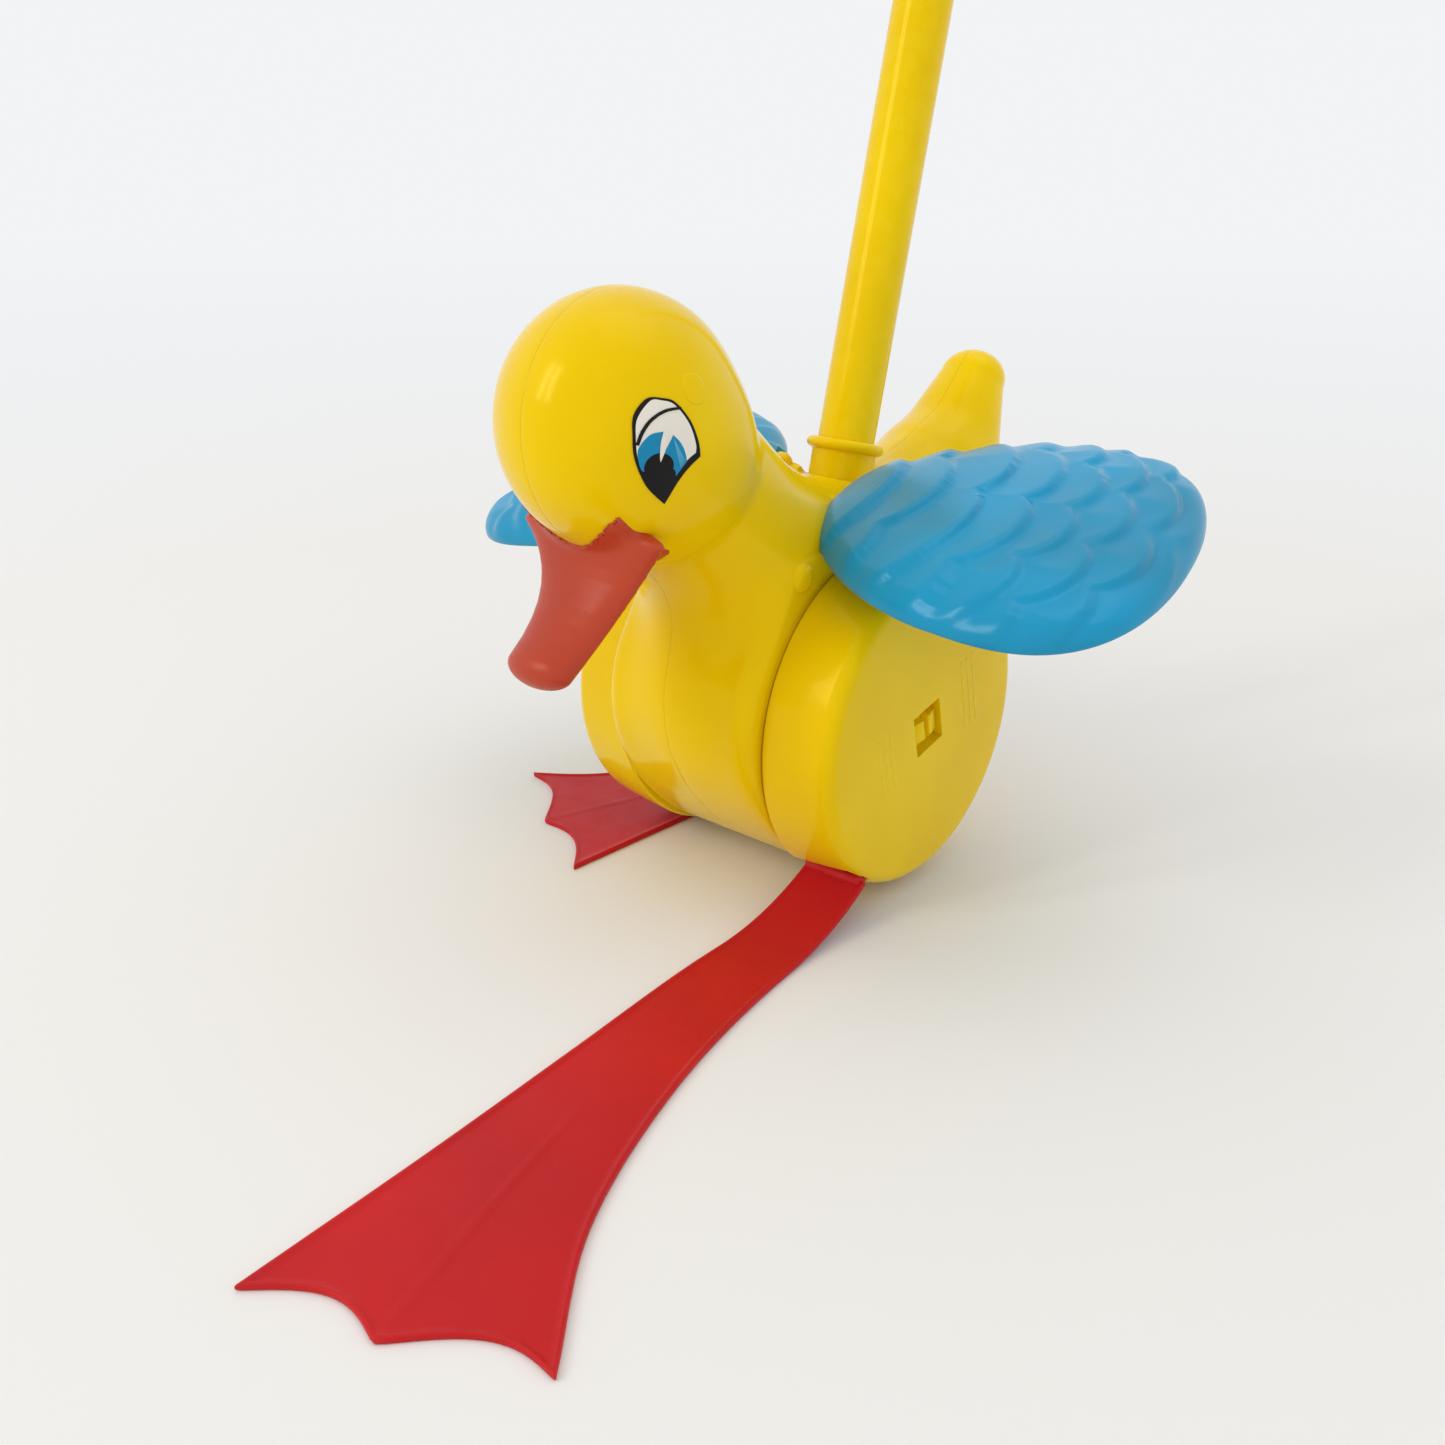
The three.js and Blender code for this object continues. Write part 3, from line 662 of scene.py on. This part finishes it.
def build_axle():
    """Axle with a pair of snap hooks through each wheel."""
    half, chamfer = AXLE_HALF, 0.6
    rod, rod_faces = lathe([(0, -half), (AXLE_R - chamfer, -half), (AXLE_R, chamfer - half),
                            (AXLE_R, half - chamfer), (AXLE_R - chamfer, half), (0, half)], 48)
    parts = [(along_x(rod), rod_faces)]
    for side in (-1, 1):
        for flip in (-1, 1):
            hook = [(HOOK_ROOT, HOOK_SLOT), (WHEEL_OUT - 0.6, HOOK_SLOT), (WHEEL_OUT - 0.3, 1.6),
                    (WHEEL_OUT - 1.0, HOOK_LIP), (WHEEL_OUT - 2.5, HOOK_LIP),
                    (WHEEL_OUT - 2.6, HOOK_BACK), (HOOK_ROOT, HOOK_BACK)]
            vertices, faces = plate(hook, (-HOOK_HALF, HOOK_HALF))
            vertices = vertices[:, [0, 2, 1]] * (side, flip, 1)
            parts.append((about_x(vertices, RECESS_TURN * side), faces))
    vertices, faces = join_parts(parts)
    axle = make_object("axle_with_hooks", vertices, faces, [YELLOW], "wheels", ["axle"])
    bevel(axle, 0.22)
    sharpen(axle, 30)


# ---- feet ----
FOOT_LENGTH = 175.0
FOOT_TOUCHDOWN = 36.0
STRIP_T = 1.5
MEMBRANE = 1.15
EDGE_ROUND = 0.45
TOE_DEPTH = 6.5
RIGHT_TOE_OUT = 0.2
INNER_EDGE = [(24.8, 0), (24.6, 45), (28, 90), (31, 130), (33.4, FOOT_LENGTH)]
OUTER_EDGE = [(43.6, 0), (46, 42), (54.4, 84), (70, 124), (90, 151)]


def centripetal(points, t):
    """Point at share t of a centripetal Catmull-Rom curve, as the frame's foot edges are drawn."""
    points = [np.array(p, float) for p in points]
    spans = len(points) - 1
    position = min(t * spans, spans - 1e-9)
    k = int(position)
    w = position - k
    p1, p2 = points[k], points[k + 1]
    p0 = points[k - 1] if k > 0 else 2 * points[0] - points[1]
    p3 = points[k + 2] if k + 2 <= spans else 2 * points[-1] - points[-2]
    d0, d1, d2 = (np.linalg.norm(b - a) ** 0.5 for a, b in ((p0, p1), (p1, p2), (p2, p3)))
    m1 = ((p1 - p0) / d0 - (p2 - p0) / (d0 + d1) + (p2 - p1) / d1) * d1
    m2 = ((p2 - p1) / d1 - (p3 - p1) / (d1 + d2) + (p3 - p2) / d2) * d1
    return hermite(p1, p2, m1, m2, w)


def flat_foot(across, along, inner, outer):
    point = inner + (outer - inner) * across
    web = math.sqrt(math.sin(2 * math.pi * across) ** 2 + 0.004) - 0.063
    return point + np.array([0, (3 * math.sin(math.pi * across) - TOE_DEPTH * web) * along ** 6])


def resting_path(length):
    root = root_at(1)
    t = min(length / FOOT_TOUCHDOWN, 1.0)
    ground = FLOOR_Z + STRIP_T / 2
    height = ground + (root[1] - ground) * (1 - t) ** 2
    slope = -2 * (root[1] - ground) * (1 - t) / FOOT_TOUCHDOWN
    size = math.hypot(slope, 1)
    return root[0] - length, height, slope / size, 1 / size


def wrapped_path(length):
    radius = WHEEL_R + 0.3 + STRIP_T / 2
    arc = radius * (math.pi - FOOT_ROOT_ANGLE)
    if length > arc:
        return arc - length, -radius, 0.0, 1.0
    angle = (arc - length) / radius
    return radius * math.sin(angle), -radius * math.cos(angle), -math.sin(angle), math.cos(angle)


def graded(length, fine, steps):
    """Shares from 0 to 1 of a length, with extra ones close to both ends, at these distances."""
    near = [d / length for d in fine]
    middle = np.linspace(near[-1], 1 - near[-1], steps)[1:-1]
    return near + list(middle) + [1 - n for n in near[::-1]]


def rounded(edge):
    """Share of the strip's thickness at a distance from its edge."""
    return math.sqrt(1 - (1 - min(edge / EDGE_ROUND, 1)) ** 2)


def foot_height(from_side, from_toe, from_rib):
    """Top of the strip above its middle plane: a thin web with a raised rim and a centre rib."""
    rim = STRIP_T / 2
    web = MEMBRANE - STRIP_T / 2
    edge = min(from_side, from_toe)
    if edge < EDGE_ROUND:
        return rim * rounded(edge)
    fall = min(max((edge - 1.0) / 0.7, 0.0), 1.0)
    height = rim + (web - rim) * fall * fall * (3 - 2 * fall)
    rib = math.exp(-((from_rib / 0.7) ** 2)) * 0.22 * min(1.0, max(0.0, (80 - from_toe) / 30))
    return max(height, web + rib)


def build_foot(side):
    name = f"{SIDES[side]}_foot"
    path = resting_path if side > 0 else wrapped_path
    fine = [0.0, 0.06, 0.2, 0.45, 1.0, 1.35, 1.7]
    rows = graded(FOOT_LENGTH, fine, 150 if side > 0 else 210)
    upper, lower = [], []
    for along in rows:
        inner = centripetal(INNER_EDGE, along)
        outer = centripetal(OUTER_EDGE, along)
        width = np.linalg.norm(outer - inner)
        for across in graded(width, fine, 41):
            flat = flat_foot(across, along, inner, outer)
            if side < 0:
                flat[1] -= RIGHT_TOE_OUT * (flat[0] - WHEEL_IN) * along ** 3
            y, z, ny, nz = path(flat[1])
            from_side = min(across, 1 - across) * width
            from_toe = (1 - along) * FOOT_LENGTH
            top = foot_height(from_side, from_toe, abs(across - 0.5) * width)
            low = -STRIP_T / 2 * rounded(min(from_side, from_toe))
            upper.append((side * flat[0], y + ny * top, z + nz * top))
            lower.append((side * flat[0], y + ny * low, z + nz * low))
    number = np.arange(len(upper)).reshape(len(rows), -1)
    below = len(upper)
    faces = []
    for a, b, c, d in zip(number[:-1, :-1].flat, number[:-1, 1:].flat, number[1:, 1:].flat,
                          number[1:, :-1].flat):
        faces += [[a, b, c, d], [below + a, below + d, below + c, below + b]]
    rim = [*number[0], *number[1:, -1], *number[-1, -2::-1], *number[-2:0:-1, 0]]
    faces += [[a, below + a, below + b, b] for a, b in zip(rim, rim[1:] + rim[:1])]
    root = root_at(side)
    start, end, chamfer = WHEEL_IN + 0.8, WHEEL_OUT - 1.5, 0.4
    bar, bar_faces = lathe([(0, start), (FOOT_BAR_R - chamfer, start), (FOOT_BAR_R, start + chamfer),
                            (FOOT_BAR_R, end - chamfer), (FOOT_BAR_R - chamfer, end), (0, end)], 40)
    bar = along_x(bar, side) + (0, *root)
    vertices, faces = join_parts([(upper + lower, faces), (bar, bar_faces)])
    make_object(f"{name}_webbed", vertices, faces, [RED], name, [name])


# ---- wings ----
WING_CENTRE = np.array([42.3, -3.4, 0.0])
WING_LONG = 45.6
WING_WIDE = 43.8
WING_CROWN = 11.0
WING_TURN = 0.153
WING_EGG = 0.30
WING_SQUARE = 0.88
WING_DROOP = {1: 0.075, -1: 0.15}  # the right wing rests a little lower
WING_SKIN = 1.8
WING_SINK = 0.4
WING_LIP = 0.9
HOOD_FOOT = 3.4
HOOD_REACH = 0.2
FEATHER_ROWS = (0.17, 0.32, 0.47, 0.60, 0.71, 0.81, 0.90, 0.97)
FEATHER_COUNT = (1, 2, 2, 3, 4, 4, 4, 3)
FEATHER_LIFT = 2.0


def wing_outline(angle):
    c, s = np.cos(angle), np.sin(angle)
    u = WING_LONG * np.sign(c) * np.abs(c) ** WING_SQUARE
    v = WING_WIDE * np.sign(s) * np.abs(s) ** WING_SQUARE * (1 + WING_EGG * c)
    return u, v


def feathers(u, v):
    """Height of the shingled feathers at a share u from root to tip and v across."""
    height = np.zeros_like(u)
    previous = np.full_like(u, -0.12)
    for row, (edge_at, count) in enumerate(zip(FEATHER_ROWS, FEATHER_COUNT)):
        phase = (v * 0.5 + 0.5) * count + (0.5 if row % 2 else 0.0)
        local = 2 * (phase - np.floor(phase)) - 1
        lobe = np.sqrt(np.clip(1 - local ** 2 * 0.96, 0, 1))
        edge = edge_at - 0.16 * v ** 2 + 0.075 * (lobe - 0.6)
        span = np.maximum(edge - previous, 0.02)
        share = np.clip((u - previous) / span, 0, 1)
        within = (u >= previous) & (u < edge)
        crown = 0.55 + 0.45 * lobe
        height = np.where(within, FEATHER_LIFT * share ** 1.3 * crown, height)
        previous = edge
    return np.where(u >= previous, FEATHER_LIFT * 0.25, height)


def smooth_grid(grid, rounds):
    """Softens a (rings, turns) height grid, which closes on itself in its second direction."""
    for _ in range(rounds):
        turned = (np.roll(grid, 1, 1) + np.roll(grid, -1, 1)) / 2
        padded = np.vstack([grid[:1], grid, grid[-1:]])
        ringed = (padded[2:] + padded[:-2]) / 2
        grid = grid * 0.5 + (turned + ringed) * 0.25
    return grid


def wing_to_axle(points, side):
    """From the wing's own frame, on its hinge, to millimetres from the axle."""
    x, y, z = np.asarray(points, float).T
    cd, sd = math.cos(WING_DROOP[side]), math.sin(WING_DROOP[side])
    drooped = np.stack([x * cd + z * sd, y, z * cd - x * sd], axis=1)
    return (about_x(drooped, HINGE_PITCH) + HINGE) * (side, 1, 1)


def build_wing(side):
    name = f"{SIDES[side]}_wing"
    rings, turns = ((120, 320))
    rho = np.sin(np.linspace(0, math.pi / 2, rings + 1))[1:, None]
    angle = np.linspace(0, 2 * math.pi, turns, endpoint=False)[None, :]
    u, v = wing_outline(angle)
    u, v = u * rho, v * rho
    vault = np.sqrt(np.clip(1 - rho ** 2.3, 0, 1)) * np.ones_like(u)
    share_across = v / (WING_WIDE * (1 + WING_EGG * u / WING_LONG))
    relief = smooth_grid(feathers(u / (2 * WING_LONG) + 0.5, share_across), 10)
    relief = relief * np.clip((1 - rho) / 0.10, 0, 1) ** 0.5
    ct, st = math.cos(WING_TURN), math.sin(WING_TURN)
    x, y = u * ct - v * st, u * st + v * ct

    def layer(scale, height):
        """The grid scaled about its middle, at this height."""
        return np.stack([x * scale, y * scale, height * np.ones_like(x)], axis=2)

    shrink = 1 - WING_SKIN / WING_LONG
    chamfer = 0.3 / WING_LONG
    top = layer(1 + relief * 0.25 * rho / WING_LONG, WING_CROWN * vault + relief - WING_SINK)
    bottom = layer(shrink, (WING_CROWN - WING_SKIN) * vault - WING_SINK)
    lip = layer(1 - chamfer, -WING_LIP)[-1]
    lip_in = layer(shrink + chamfer, -WING_LIP)[-1]
    vertices = np.concatenate([
        [[0, 0, float(WING_CROWN + relief[0].mean() - WING_SINK)]], top.reshape(-1, 3), lip, lip_in,
        bottom[::-1].reshape(-1, 3), [[0, 0, WING_CROWN - WING_SKIN - WING_SINK]]])
    vertices = vertices + WING_CENTRE
    # The inner edge is a hood over the knuckle, and stops short of it below.
    inner_edge = np.where(vertices[:, 2] > HOOD_FOOT, HOOD_REACH, HOOD_REACH + 3.4)
    vertices[:, 0] = np.maximum(vertices[:, 0], inner_edge + 0.02 * (vertices[:, 0] - inner_edge))
    loops = 2 * rings + 2
    faces = [[0, 1 + (j + 1) % turns, 1 + j] for j in range(turns)]
    for i in range(loops - 1):
        low, high = 1 + i * turns, 1 + (i + 1) * turns
        faces += band(low, high, turns)
    last, end = 1 + (loops - 1) * turns, 1 + loops * turns
    faces += [[last + j, last + (j + 1) % turns, end] for j in range(turns)]
    tube = [(1.5, -6), (2.6, -6), (3, -5.6), (3, 5.6), (2.6, 6), (1.5, 6)]
    knuckle, knuckle_faces = lathe(tube, 40, closed=True)
    knuckle = knuckle[:, [0, 2, 1]]
    arm = [(1.6, -1.6), (4.6, -0.4), (6.4, 1.6), (6.8, 4.2), (4.8, 4.2), (3.6, 2.8), (1.2, 2.4)]
    vertices, faces = join_parts([(vertices, faces), (knuckle, knuckle_faces), plate(arm, (-5.6, 5.6))])
    vertices = wing_to_axle(vertices, side)
    make_object(f"{name}_feathered", vertices, faces, [BLUE], name, [name], sharp=50)


def build_wing_pin(side):
    """Hinge pin with two domed ends."""
    name = f"{SIDES[side]}_wing_pin"
    half, radius = 9.4, 1.2
    profile = [(0, -half - 0.9), (radius - 0.3, -half - 0.7), (radius, -half - 0.3), (radius, half + 0.3),
               (radius - 0.3, half + 0.7), (0, half + 0.9)]
    pin, faces = lathe(profile, 32)
    points = (about_x(pin[:, [0, 2, 1]], HINGE_PITCH) + HINGE) * (side, 1, 1)
    make_object(f"{name}_domed", points, faces, [YELLOW], "body", [name], sharp=40)


# ---- beak ----
BEAK_LIP = 0.5
BEAK_CORNER = 15.5
BEAK_STATIONS = 9


def beak_station(t):
    """y, z, half thickness and half width of the bill at a share t from root to tip."""
    return (-76.3 + 3.0 * t - 20.3 * t * t, 59.5 - 27.7 * t, 3.8 + 0.9 * t, 22.0 - 22.4 * t + 10.1 * t * t)


def beak_field(x, y, z):
    """The bill, with a thin lip that rises to a corner on both sides of the forehead."""
    shares = np.linspace(0, 1, BEAK_STATIONS)
    bill = np.full_like(x, 1e3)
    for low, high in zip(shares[:-1], shares[1:]):
        bill = np.minimum(bill, spoon(x, y, z, beak_station(low), beak_station(high)))
    from_head = head_field(x, y, z)
    top = 57.0 + 9.8 * (np.minimum(np.abs(x), BEAK_CORNER) / BEAK_CORNER) ** 1.5
    edge = np.maximum((z - top) * 0.75, np.abs(x) - 15.9)
    lip = np.maximum(np.maximum(from_head - BEAK_LIP, -from_head - 2.5), np.maximum(edge, 50.0 - z))
    lip = np.maximum(lip, y + 67.5)
    bill = blend_max(bill, (z - top - 0.5) * 0.75, 1.0)
    return blend_min(bill, lip, 2.0)


def build_beak():
    step = 0.6
    points, faces = iso_surface(beak_field, (-26, -102, 20), (26, -58, 74), step)
    make_object("beak_moulding", points, faces, [BEAK], "body", ["beak"], sharp=60)


# ---- eyes ----
EYE_TURN = math.radians(-27.5)
EYE_DIP = math.radians(-3.8)
EYE_STRETCH = (1.1, 1.03)


def smooth_loop(points, corners=()):
    """Closed outline through points, curved except at the numbered corners."""
    steps = 8
    n = len(points)
    pts = [np.array(p, float) for p in points]
    result = []
    for k in range(n):
        p1, p2 = pts[k], pts[(k + 1) % n]
        straight = (p2 - p1) * 0.8
        m1 = straight if k in corners else (p2 - pts[k - 1]) / 2
        m2 = straight if (k + 1) % n in corners else (pts[(k + 2) % n] - p1) / 2
        result += [hermite(p1, p2, m1, m2, i / steps) for i in range(steps)]
    return result


def patch(outline, lift, side, thick):
    """Thin printed film of that outline on the head, as (vertices, faces)."""
    grid = 0.8
    outline = [Vector(p) for p in outline]
    n = len(outline)
    columns, rows = (np.arange(min(p[k] for p in outline) + grid / 2, max(p[k] for p in outline), grid)
                     for k in (0, 1))
    inner = [Vector((a, b)) for a in columns for b in rows]
    keep = [p for p in inner if inside_loop(p, outline) and
            min((p - q).length for q in outline) > grid * 0.35]
    points, _, triangles, *_ = delaunay_2d_cdt(outline + keep, [(i, (i + 1) % n) for i in range(n)],
                                               [list(range(n))], 1, 1e-5)
    ce, se = math.cos(EYE_TURN), math.sin(EYE_TURN)
    cd, sd = math.cos(EYE_DIP), math.sin(EYE_DIP)
    out = np.array([ce * cd, se * cd, sd])
    back = np.array([-se, ce, 0.0])
    up = np.cross(out, back)
    rays = np.array([out * (HEAD_R + 0.3) + back * p[0] * EYE_STRETCH[0] + up * p[1] * EYE_STRETCH[1]
                     for p in points])
    rays = rays / np.linalg.norm(rays, axis=1)[:, None]
    skin = bisect(lambda reach: head_field(*(HEAD + rays * reach[:, None]).T) < 0,
                  np.full(len(rays), 15.0), np.full(len(rays), 40.0))
    base = (skin + lift)[:, None]
    vertices = np.concatenate([HEAD + rays * (base + thick), HEAD + rays * base]) * (side, 1, 1)
    count = len(points)
    faces = [list(t) for t in triangles] + [[count + i for i in t][::-1] for t in triangles]
    edges = dict.fromkeys(e for a, b, c in triangles for e in ((a, b), (b, c), (c, a)))
    faces += [[b, a, count + a, count + b] for a, b in edges if (b, a) not in edges]
    return vertices, faces


def inside_loop(point, outline):
    inside = False
    for a, b in zip(outline, outline[1:] + outline[:1]):
        if (a.y > point.y) != (b.y > point.y):
            if point.x < (b.x - a.x) * (point.y - a.y) / (b.y - a.y) + a.x:
                inside = not inside
    return inside


def eye_layers():
    """The printed colours from the bottom up, as (ink, outline)."""
    black = smooth_loop([(-3.4, 11.5), (-6.3, 8.0), (-6.6, 3.5), (-6.2, -1.5), (-3.6, -8.0), (0.9, -13.6),
                         (3.4, -8.2), (6.2, -4.8), (9.3, -2.7), (8.8, 0.8), (6.8, 5.8), (3.2, 10.4),
                         (0.0, 11.5)], corners=(5, 8))
    cream = smooth_loop([(-2.6, 10.9), (-5.5, 7.2), (-5.9, 3.2), (-5.4, -1.6), (-3.0, -4.4), (3.0, -6.2),
                         (5.6, -3.0), (7.9, -1.6), (7.9, 0.6), (6.2, 5.4), (2.9, 9.8), (0.0, 10.9)],
                        corners=(5, 7))
    lid = [(-6.0, 1.6), (-4.9, 4.4), (-2.9, 6.9), (0.4, 8.75), (4.4, 9.3), (4.6, 8.7), (0.7, 8.1),
           (-2.3, 6.4), (-4.2, 4.0), (-5.3, 1.4)]
    lid = smooth_loop(lid, corners=(0, 4, 5, 9))
    iris_left = smooth_loop([(-5.6, -0.4), (-4.9, 1.6), (-2.8, 3.6), (-0.1, 4.0), (-0.6, 1.2), (-0.9, -2.6),
                             (-2.6, -4.4), (-4.7, -4.0)], corners=(3, 5))
    iris_right = smooth_loop([(2.1, 3.1), (3.7, 1.4), (4.9, -0.8), (5.5, -3.2), (4.0, -4.9), (2.8, -6.4),
                              (1.6, -4.4), (0.5, -1.2), (-0.1, -0.6), (0.9, 1.0)], corners=(0, 3, 5, 8))
    pupil = [(-1.0 + 3.25 * math.cos(a), -3.7 + 3.2 * math.sin(a))
             for a in np.linspace(0, 2 * math.pi, 48, endpoint=False)]
    pool = smooth_loop([(-4.4, -4.4), (-1.0, -3.2), (2.4, -4.6), (2.9, -6.6), (1.6, -10.6), (0.9, -12.4),
                        (-1.6, -9.6)], corners=(0, 3, 5))
    glint = smooth_loop([(-0.1, 4.0), (0.9, 2.9), (0.3, 0.2), (-0.8, -2.5), (-0.95, -1.0), (-0.75, 1.6)],
                        corners=(0, 3))
    layers = [(BLACK, black), (CREAM, cream), (IRIS, iris_left), (IRIS, iris_right), (BLACK, pupil),
              (BLACK, pool), (BLACK, lid), (CREAM, glint)]
    for k in range(5):
        share = k / 4
        top = np.array([2.2 + 0.25 * share, 2.2 - 1.1 * share])
        foot = np.array([4.9 - 0.9 * share, -3.0 - 1.3 * share])
        side = np.array([0.09, 0.05])
        layers.append((STREAK, [top - side, top + side, foot + side, foot - side]))
    return layers


def build_eye(side):
    name = f"{SIDES[side]}_eye_sticker"
    heights = [0.14, 0.20, 0.25, 0.25, 0.30, 0.28, 0.34, 0.38] + [0.34] * 5
    films, inks = [], []
    for (ink, outline), height in zip(eye_layers(), heights):
        films.append(patch(outline, height, side, 0.05 if height > 0.15 else 0.1))
        inks += [ink] * len(films[-1][1])
    vertices, faces = join_parts(films)
    eye = make_object(f"{name}_print", vertices, faces, EYE_INKS, "body", [name],
                      outward=False)
    if len(eye.data.polygons) == len(inks):
        eye.data.polygons.foreach_set("material_index", inks)
    turn_outward(eye, merge=False)
    sharpen(eye, 40)


# ---- stick and rivets ----
def on_stick(vertices):
    """Points about +Z moved onto the tilted stick."""
    return about_x(vertices, -STICK_TILT) + STICK_FOOT


def stick_piece(name, profile, node, closed=True):
    vertices, faces = lathe(profile, closed=closed)
    make_object(name, on_stick(vertices), faces, [YELLOW], "body", [node], sharp=30)


def build_stick():
    radius, wall, seat, end, top = 7.75, 1.4, -30.7, 225.0, 425.0
    flange = [(8.9, 9.9)] + fillet((9.1, 11.6), 1.5, -80, 80, 12) + [(8.3, 13.1)]
    collar = [(8.6, -33), (8.65, -32.5), (8.65, 3.0), (8.75, 4.0), (8.75, 9.4)] + flange
    collar += [(8.05, 13.0), (8.05, -31), (0, -31), (0, -33.7), (8.0, -33.7)]
    stick_piece("stick_collar_ring", collar, "stick_collar")

    def tube(low, high):
        inner = radius - wall
        return [(inner + 0.3, low), (radius - 0.3, low), (radius, low + 0.3), (radius, high - 0.3),
                (radius - 0.3, high), (inner + 0.3, high), (inner, high - 0.3), (inner, low + 0.3)]

    stick_piece("lower_stick_tube", tube(seat, end), "lower_stick")
    stick_piece("upper_stick_tube", tube(end + 2.1, top), "upper_stick")
    core = radius - wall - 0.3
    coupler = [(0, end - 20), (core - 0.8, end - 20), (core, end - 19), (core, end + 0.3),
               (radius - 0.2, end + 0.3), (radius, end + 0.5), (radius, end + 1.6),
               (radius - 0.2, end + 1.8), (core, end + 1.8), (core, end + 21), (core - 0.8, end + 22),
               (0, end + 22)]
    stick_piece("stick_coupler_plug", coupler, "stick_coupler", closed=False)
    centre, knob = top + 8, 17.0
    profile = [(0, top + 0.3), (radius + 0.3, top + 0.3), (radius + 0.3, centre - 24),
               (radius + 1.8, centre - 24), (radius + 2.3, centre - 23.4), (radius + 2.1, centre - 18.5)]
    profile += fillet((0, centre), knob, -56, 90, 28)
    profile[-1] = (0, centre + knob)
    stick_piece("handle_knob_ball", profile, "handle_knob", closed=False)


def surface_x(y, z):
    """Half width of the body where a line along x through (y, z) leaves it."""
    return bisect(lambda x: blend_min(torso_field(x, y, z), head_field(x, y, z), 1.6) < 0,
                  np.zeros_like(y), np.full_like(y, 40.0))


def build_rivets():
    """Two pegs that hold the halves together, with their ends showing on both sides."""
    sides, rings = 48, 8
    for node, spot, radius, tall in (("shoulder_rivet", SHOULDER_RIVET, 3.9, 1.0),
                                     ("head_rivet", HEAD_RIVET, 3.5, 0.12)):
        parts = []
        for side in (-1, 1):
            around = np.linspace(0, 2 * math.pi, sides, endpoint=False)
            vertices = []
            for share in np.linspace(0.08, 1.0, rings):
                y = spot[0] + share * radius * np.cos(around)
                z = spot[1] + share * radius * np.sin(around)
                x = surface_x(y, z) + tall * (1 - share ** 4) + (0.12 if share < 1 else -0.3)
                vertices += list(zip(side * x, y, z))
            vertices += [(x - side * 2.5, y, z) for x, y, z in vertices[-sides:]]
            faces = [list(range(sides)), list(range(rings * sides, (rings + 1) * sides))[::-1]]
            for ring in range(rings):
                faces += band(ring * sides, (ring + 1) * sides, sides)
            parts.append((np.array(vertices), faces))
        vertices, faces = join_parts(parts)
        make_object(f"{node}_domed", vertices, faces, [YELLOW], "body", [node], sharp=40)


for each_side in SIDES:
    for build in (build_wheel, build_foot, build_wing, build_wing_pin, build_eye):
        build(each_side)
build_axle()
build_beak()
build_stick()
build_rivets()


# ---- floor and light ----
SKY = (0.885, 0.90, 0.92, 1.0)


def build_stage():
    """Pale floor that fades into the light around it, two window lights and a soft top light."""
    floor_mesh = bpy.data.meshes.new("floor")
    reach = 60.0
    floor_mesh.from_pydata([(-reach, -reach, 0), (reach, -reach, 0), (reach, reach, 0), (-reach, reach, 0)],
                           [], [(0, 1, 2, 3)])
    floor = bpy.data.objects.new("floor", floor_mesh)
    bpy.context.scene.collection.objects.link(floor)
    material, tree, shader = new_material("floor")
    shader.inputs["Base Color"].default_value = (0.82, 0.80, 0.765, 1)
    shader.inputs["Roughness"].default_value = 0.7
    shader.inputs["Specular IOR Level"].default_value = 0.2
    spot = tree.nodes.new("ShaderNodeTexCoord").outputs["Object"]
    length = tree.nodes.new("ShaderNodeVectorMath")
    length.operation = "LENGTH"
    tree.links.new(spot, length.inputs[0])
    nearness = maths(tree, "DIVIDE", 1.0, length.outputs["Value"])
    fade = map_range(tree, nearness, 2.4, 0.25, 0.0, 1.0)
    glow = tree.nodes.new("ShaderNodeEmission")
    glow.inputs["Color"].default_value = SKY
    mix = tree.nodes.new("ShaderNodeMixShader")
    tree.links.new(fade, mix.inputs["Fac"])
    tree.links.new(shader.outputs["BSDF"], mix.inputs[1])
    tree.links.new(glow.outputs["Emission"], mix.inputs[2])
    tree.links.new(mix.outputs["Shader"], tree.nodes["Material Output"].inputs["Surface"])
    floor_mesh.materials.append(material)
    world = bpy.data.worlds.new("soft_light")
    bpy.context.scene.world = world
    world.use_nodes = True
    world.node_tree.nodes["Background"].inputs["Color"].default_value = SKY
    world.node_tree.nodes["Background"].inputs["Strength"].default_value = 1.0
    for name, position, size, power, colour in (
        ("window_left", (-0.80, -1.5, 1.15), (0.13, 0.9), 4.2, (1.0, 0.98, 0.95)),
        ("window_right", (-0.50, -1.6, 1.15), (0.13, 0.9), 4.2, (1.0, 0.98, 0.95)),
        ("top", (0.2, 0.3, 1.9), (1.2, 1.2), 3.0, (1.0, 1.0, 1.0)),
    ):
        light = bpy.data.objects.new(name, bpy.data.lights.new(name, "AREA"))
        light.data.shape = "RECTANGLE"
        light.data.size, light.data.size_y = size
        light.data.energy = power
        light.data.color = colour
        light.location = position
        light.rotation_euler = (Vector((0, 0, 0.1)) - Vector(position)).to_track_quat("-Z", "Y").to_euler()
        bpy.context.scene.collection.objects.link(light)


build_stage()
bpy.context.scene.view_settings.view_transform = "Standard"
